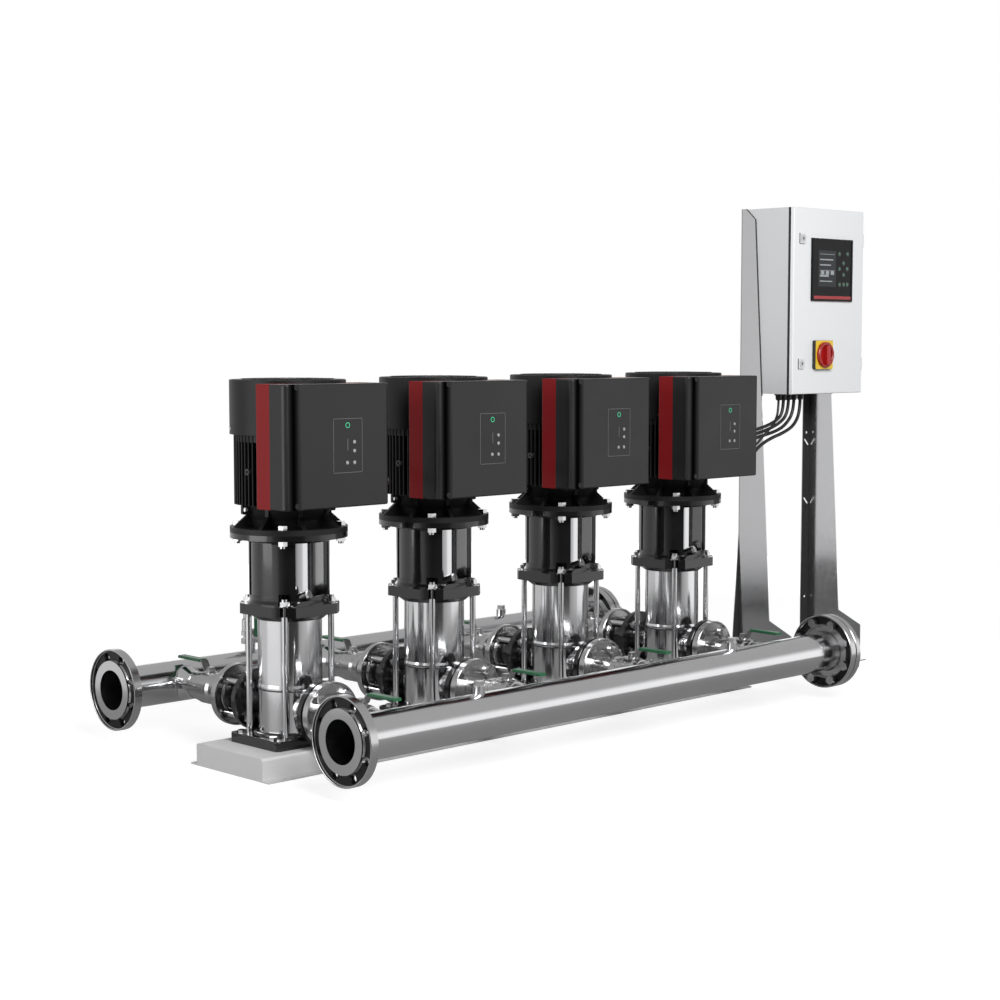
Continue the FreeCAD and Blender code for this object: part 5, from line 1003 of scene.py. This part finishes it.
for place, z in zip(("upper", "lower"), LOCK_Z):
    mesh_piece(place + "_lock_slot", lambda shape: lock_slot(shape, "door_lock_" + place, z), LOCK_SLOT_AND_SHADOW,
               place + "_lock")
mesh_piece("switch_block", switch_block, GLAND_BLACK, "door")
mesh_piece("switch_face", switch_face, SWITCH_YELLOW, "door")
mesh_piece("switch_dial", switch_dial, DIAL_DARK, "switch_handle")
mesh_piece("lock_plates", lock_plates, LOCK_PALE, "door")
mesh_piece("lock_plate_shadows", lock_plate_shadows, LOCK_SLOT_AND_SHADOW, "door")
mesh_piece("display_glass", display_glass, LCD_GLASS, "door")
mesh_piece("display_marks", display_marks, LCD_MARK, "door")
mesh_piece("display_strip", display_strip, STRIP_RED, "door")
mesh_piece("display_rings", display_rings, KEY_RING, "door")
grown_piece("display_keys", [at(x, PANEL_FACE - 0.2, z) for x, z in DISPLAY_KEYS], [], studs,
            DISPLAY_KEY_SIZE, KEY_GREEN, "door")

# Black strips along the posts' edges beside the cabinet, painted shade for the gap between post and cabinet
POST_EDGE = ((94.0, 1513.5), (56.0, 1478.0), (22.8, 905.0))
POST_SIDES = ((1967.8, 1970.8), (2351.2, 2354.2))
EDGE_STRIP_WIDTH = 3.4


def post_gap_shade_strips(shape):
    for low, high in POST_SIDES:
        rings = []
        for y, z in POST_EDGE:
            front = y - EDGE_STRIP_WIDTH
            corners = ((low, y), (high, y), (high, front), (low, front))
            rings.append([shape.verts.new(at(x, depth, z)) for x, depth in corners])
        join_rings(shape, rings)
        cap_ends(shape, rings)


mesh_piece("post_edge_gap_shade", post_gap_shade_strips, GLAND_BLACK, "set")

# Floor, world and lamps
FLOOR_REACH = 3.6
FLOOR_FADE_START = 1.8
FLOOR_FADE_END = 3.0
MIRROR_REACH = 2.1
FLOOR_DROP = 0.0005
FLOOR_SEEN = (0.82, 0.82, 0.82, 1)
FLOOR_MIRRORED = (0.15, 0.15, 0.15, 1)
FLOOR_LIGHT = 1.25
SEEN_LIGHT_SHARE = 0.65
MIRRORED_LIGHT_SHARE = 0.1
STUDIO_FRONT = Vector((CAMERA_PLACE[0], CAMERA_PLACE[1], 0)).normalized()
STUDIO_RIGHT = Vector((-STUDIO_FRONT.y, STUDIO_FRONT.x, 0))
# Brightness of the studio's walls round the set, by degrees from its front towards its right
STUDIO_WALLS = [(-180, 0.5), (-150, 0.7), (-92, 0.75), (-86, 1.0), (-36, 1.0), (-30, 0.3), (-10, 0.05),
                (27, 0.05), (35, 0.45), (62, 0.75), (68, 1.2), (100, 1.3), (106, 0.25), (148, 0.12),
                (165, 0.45), (180, 0.5)]
# Shares by height, from straight down at -1 to straight up at 1
CEILING_LEVEL = 0.5
CEILING_SHARES = [(-1.0, 0.0), (0.22, 0.0), (0.42, 1.0), (1.0, 1.0)]
# The bright strip above the horizon at the rear, by height and by degrees
GLOW_LEVEL = 1.3
GLOW_HEIGHTS = [(-1.0, 0.0), (0.0, 0.0), (0.03, 1.0), (0.2, 1.0), (0.34, 0.0), (1.0, 0.0)]
GLOW_TURNS = [(-180, 1.0), (-140, 1.0), (-120, 0.0), (120, 0.0), (140, 1.0), (180, 1.0)]
# What lights the matt surfaces, by height
SOFT_LEVELS = [(-1.0, 0.55), (0.0, 0.55), (0.7, 0.2), (1.0, 0.14)]


def ramp_node(tree, value, low, high, stops):
    """Grey level from a table of places between low and high."""
    share = math_node(tree, "DIVIDE", math_node(tree, "SUBTRACT", value, low), high - low)
    ramp = tree.nodes.new("ShaderNodeValToRGB")
    elements = ramp.color_ramp.elements
    elements.remove(elements[1])
    for number, (place, level) in enumerate(stops):
        position = (place - low) / (high - low)
        element = elements[0] if number == 0 else elements.new(position)
        element.position = position
        element.color = (level, level, level, 1)
    tree.links.new(share, ramp.inputs[0])
    return ramp.outputs[0]


def stage_material():
    """A white floor that fades out, keeps its shadow and looks darker in the metal."""
    material = bpy.data.materials.new("pale_floor")
    material.use_nodes = True
    tree = material.node_tree
    shader = tree.nodes["Principled BSDF"]
    shader.inputs["Roughness"].default_value = 0.6
    white = tree.nodes.new("ShaderNodeEmission")
    white.inputs["Strength"].default_value = FLOOR_LIGHT
    path = tree.nodes.new("ShaderNodeLightPath")
    seen = math_node(tree, "MAXIMUM", path.outputs["Is Camera Ray"], path.outputs["Is Transmission Ray"])
    tree.links.new(colour_mix(tree, seen, FLOOR_MIRRORED, FLOOR_SEEN), shader.inputs["Base Color"])
    lit = math_node(tree, "MULTIPLY", seen, SEEN_LIGHT_SHARE)
    mirrored = math_node(tree, "MULTIPLY", path.outputs["Is Glossy Ray"], MIRRORED_LIGHT_SHARE)
    lit = math_node(tree, "MAXIMUM", lit, mirrored)
    place = tree.nodes.new("ShaderNodeTexCoord")
    away = tree.nodes.new("ShaderNodeVectorMath")
    away.operation = "LENGTH"
    tree.links.new(place.outputs["Object"], away.inputs[0])
    far = math_node(tree, "SUBTRACT", away.outputs["Value"], FLOOR_FADE_START)
    far = math_node(tree, "DIVIDE", far, FLOOR_FADE_END - FLOOR_FADE_START, True)
    share = math_node(tree, "MAXIMUM", lit, math_node(tree, "MULTIPLY", far, path.outputs["Is Camera Ray"]))
    mix = tree.nodes.new("ShaderNodeMixShader")
    tree.links.new(share, mix.inputs[0])
    tree.links.new(shader.outputs[0], mix.inputs[1])
    tree.links.new(white.outputs[0], mix.inputs[2])
    beyond = math_node(tree, "GREATER_THAN", away.outputs["Value"], MIRROR_REACH)
    open_share = math_node(tree, "MULTIPLY", beyond, path.outputs["Is Glossy Ray"])
    clear = tree.nodes.new("ShaderNodeBsdfTransparent")
    ends = tree.nodes.new("ShaderNodeMixShader")
    tree.links.new(open_share, ends.inputs[0])
    tree.links.new(mix.outputs[0], ends.inputs[1])
    tree.links.new(clear.outputs[0], ends.inputs[2])
    tree.links.new(ends.outputs[0], tree.nodes["Material Output"].inputs["Surface"])
    return material


def make_floor():
    mesh = bpy.data.meshes.new("studio_floor")
    corners = [(sx * FLOOR_REACH, sy * FLOOR_REACH, 0) for sx, sy in ((-1, -1), (1, -1), (1, 1), (-1, 1))]
    mesh.from_pydata(corners, [], [(0, 1, 2, 3)])
    mesh.materials.append(stage_material())
    floor = bpy.data.objects.new("studio_floor", mesh)
    floor.location.z = -FLOOR_DROP
    bpy.context.collection.objects.link(floor)


def make_world():
    """White all round for the camera; walls, dark gaps and a ceiling for what the metal reflects."""
    world = bpy.data.worlds.new("studio")
    bpy.context.scene.world = world
    world.use_nodes = True
    tree = world.node_tree
    background = tree.nodes["Background"]
    background.inputs["Color"].default_value = (1, 1, 1, 1)
    place = tree.nodes.new("ShaderNodeTexCoord")
    parts = []
    for axis in (STUDIO_RIGHT, STUDIO_FRONT, Vector((0, 0, 1))):
        dot = tree.nodes.new("ShaderNodeVectorMath")
        dot.operation = "DOT_PRODUCT"
        dot.inputs[1].default_value = axis
        tree.links.new(place.outputs["Object"], dot.inputs[0])
        parts.append(dot.outputs["Value"])
    turn = math_node(tree, "MULTIPLY", math_node(tree, "ARCTAN2", parts[0], parts[1]), 180 / math.pi)
    walls = ramp_node(tree, turn, -180, 180, STUDIO_WALLS)
    overhead = ramp_node(tree, parts[2], -1, 1, CEILING_SHARES)
    soft = ramp_node(tree, parts[2], -1, 1, SOFT_LEVELS)
    path = tree.nodes.new("ShaderNodeLightPath")
    mirrored = math_node(tree, "MULTIPLY", walls, math_node(tree, "SUBTRACT", 1.0, overhead))
    mirrored = math_node(tree, "ADD", mirrored, math_node(tree, "MULTIPLY", overhead, CEILING_LEVEL))
    glow = math_node(tree, "MULTIPLY", ramp_node(tree, parts[2], -1, 1, GLOW_HEIGHTS),
                     ramp_node(tree, turn, -180, 180, GLOW_TURNS))
    mirrored = math_node(tree, "MAXIMUM", mirrored, math_node(tree, "MULTIPLY", glow, GLOW_LEVEL))
    mirrored = math_node(tree, "MULTIPLY", mirrored, path.outputs["Is Glossy Ray"])
    plain = math_node(tree, "SUBTRACT", 1.0, path.outputs["Is Glossy Ray"])
    level = math_node(tree, "ADD", mirrored, math_node(tree, "MULTIPLY", soft, plain))
    level = math_node(tree, "MAXIMUM", level, path.outputs["Is Camera Ray"])
    level = math_node(tree, "MAXIMUM", level, path.outputs["Is Transmission Ray"])
    tree.links.new(level, background.inputs["Strength"])


def area_lamp(name, place, target, size, power, mirrored=True):
    data = bpy.data.lights.new(name, "AREA")
    data.shape = "RECTANGLE"
    data.size, data.size_y = size
    data.energy = power
    lamp = bpy.data.objects.new(name, data)
    bpy.context.collection.objects.link(lamp)
    lamp.location = at(*place)
    aim = at(*target) - lamp.location
    lamp.rotation_euler = aim.to_track_quat("-Z", "Y").to_euler()
    lamp.visible_camera = False
    lamp.visible_glossy = mirrored


make_floor()
make_world()
area_lamp("key_lamp", (-700, -3900, 3000), (1100, 0, 600), (2.4, 2.0), 265)
area_lamp("left_lamp", (-3500, 650, 1250), (0, 0, 500), (2.6, 2.4), 58)
area_lamp("rear_lamp", (1800, 3400, 2600), (900, 0, 700), (2.4, 1.2), 45, False)
bpy.context.scene.view_settings.view_transform = "Standard"
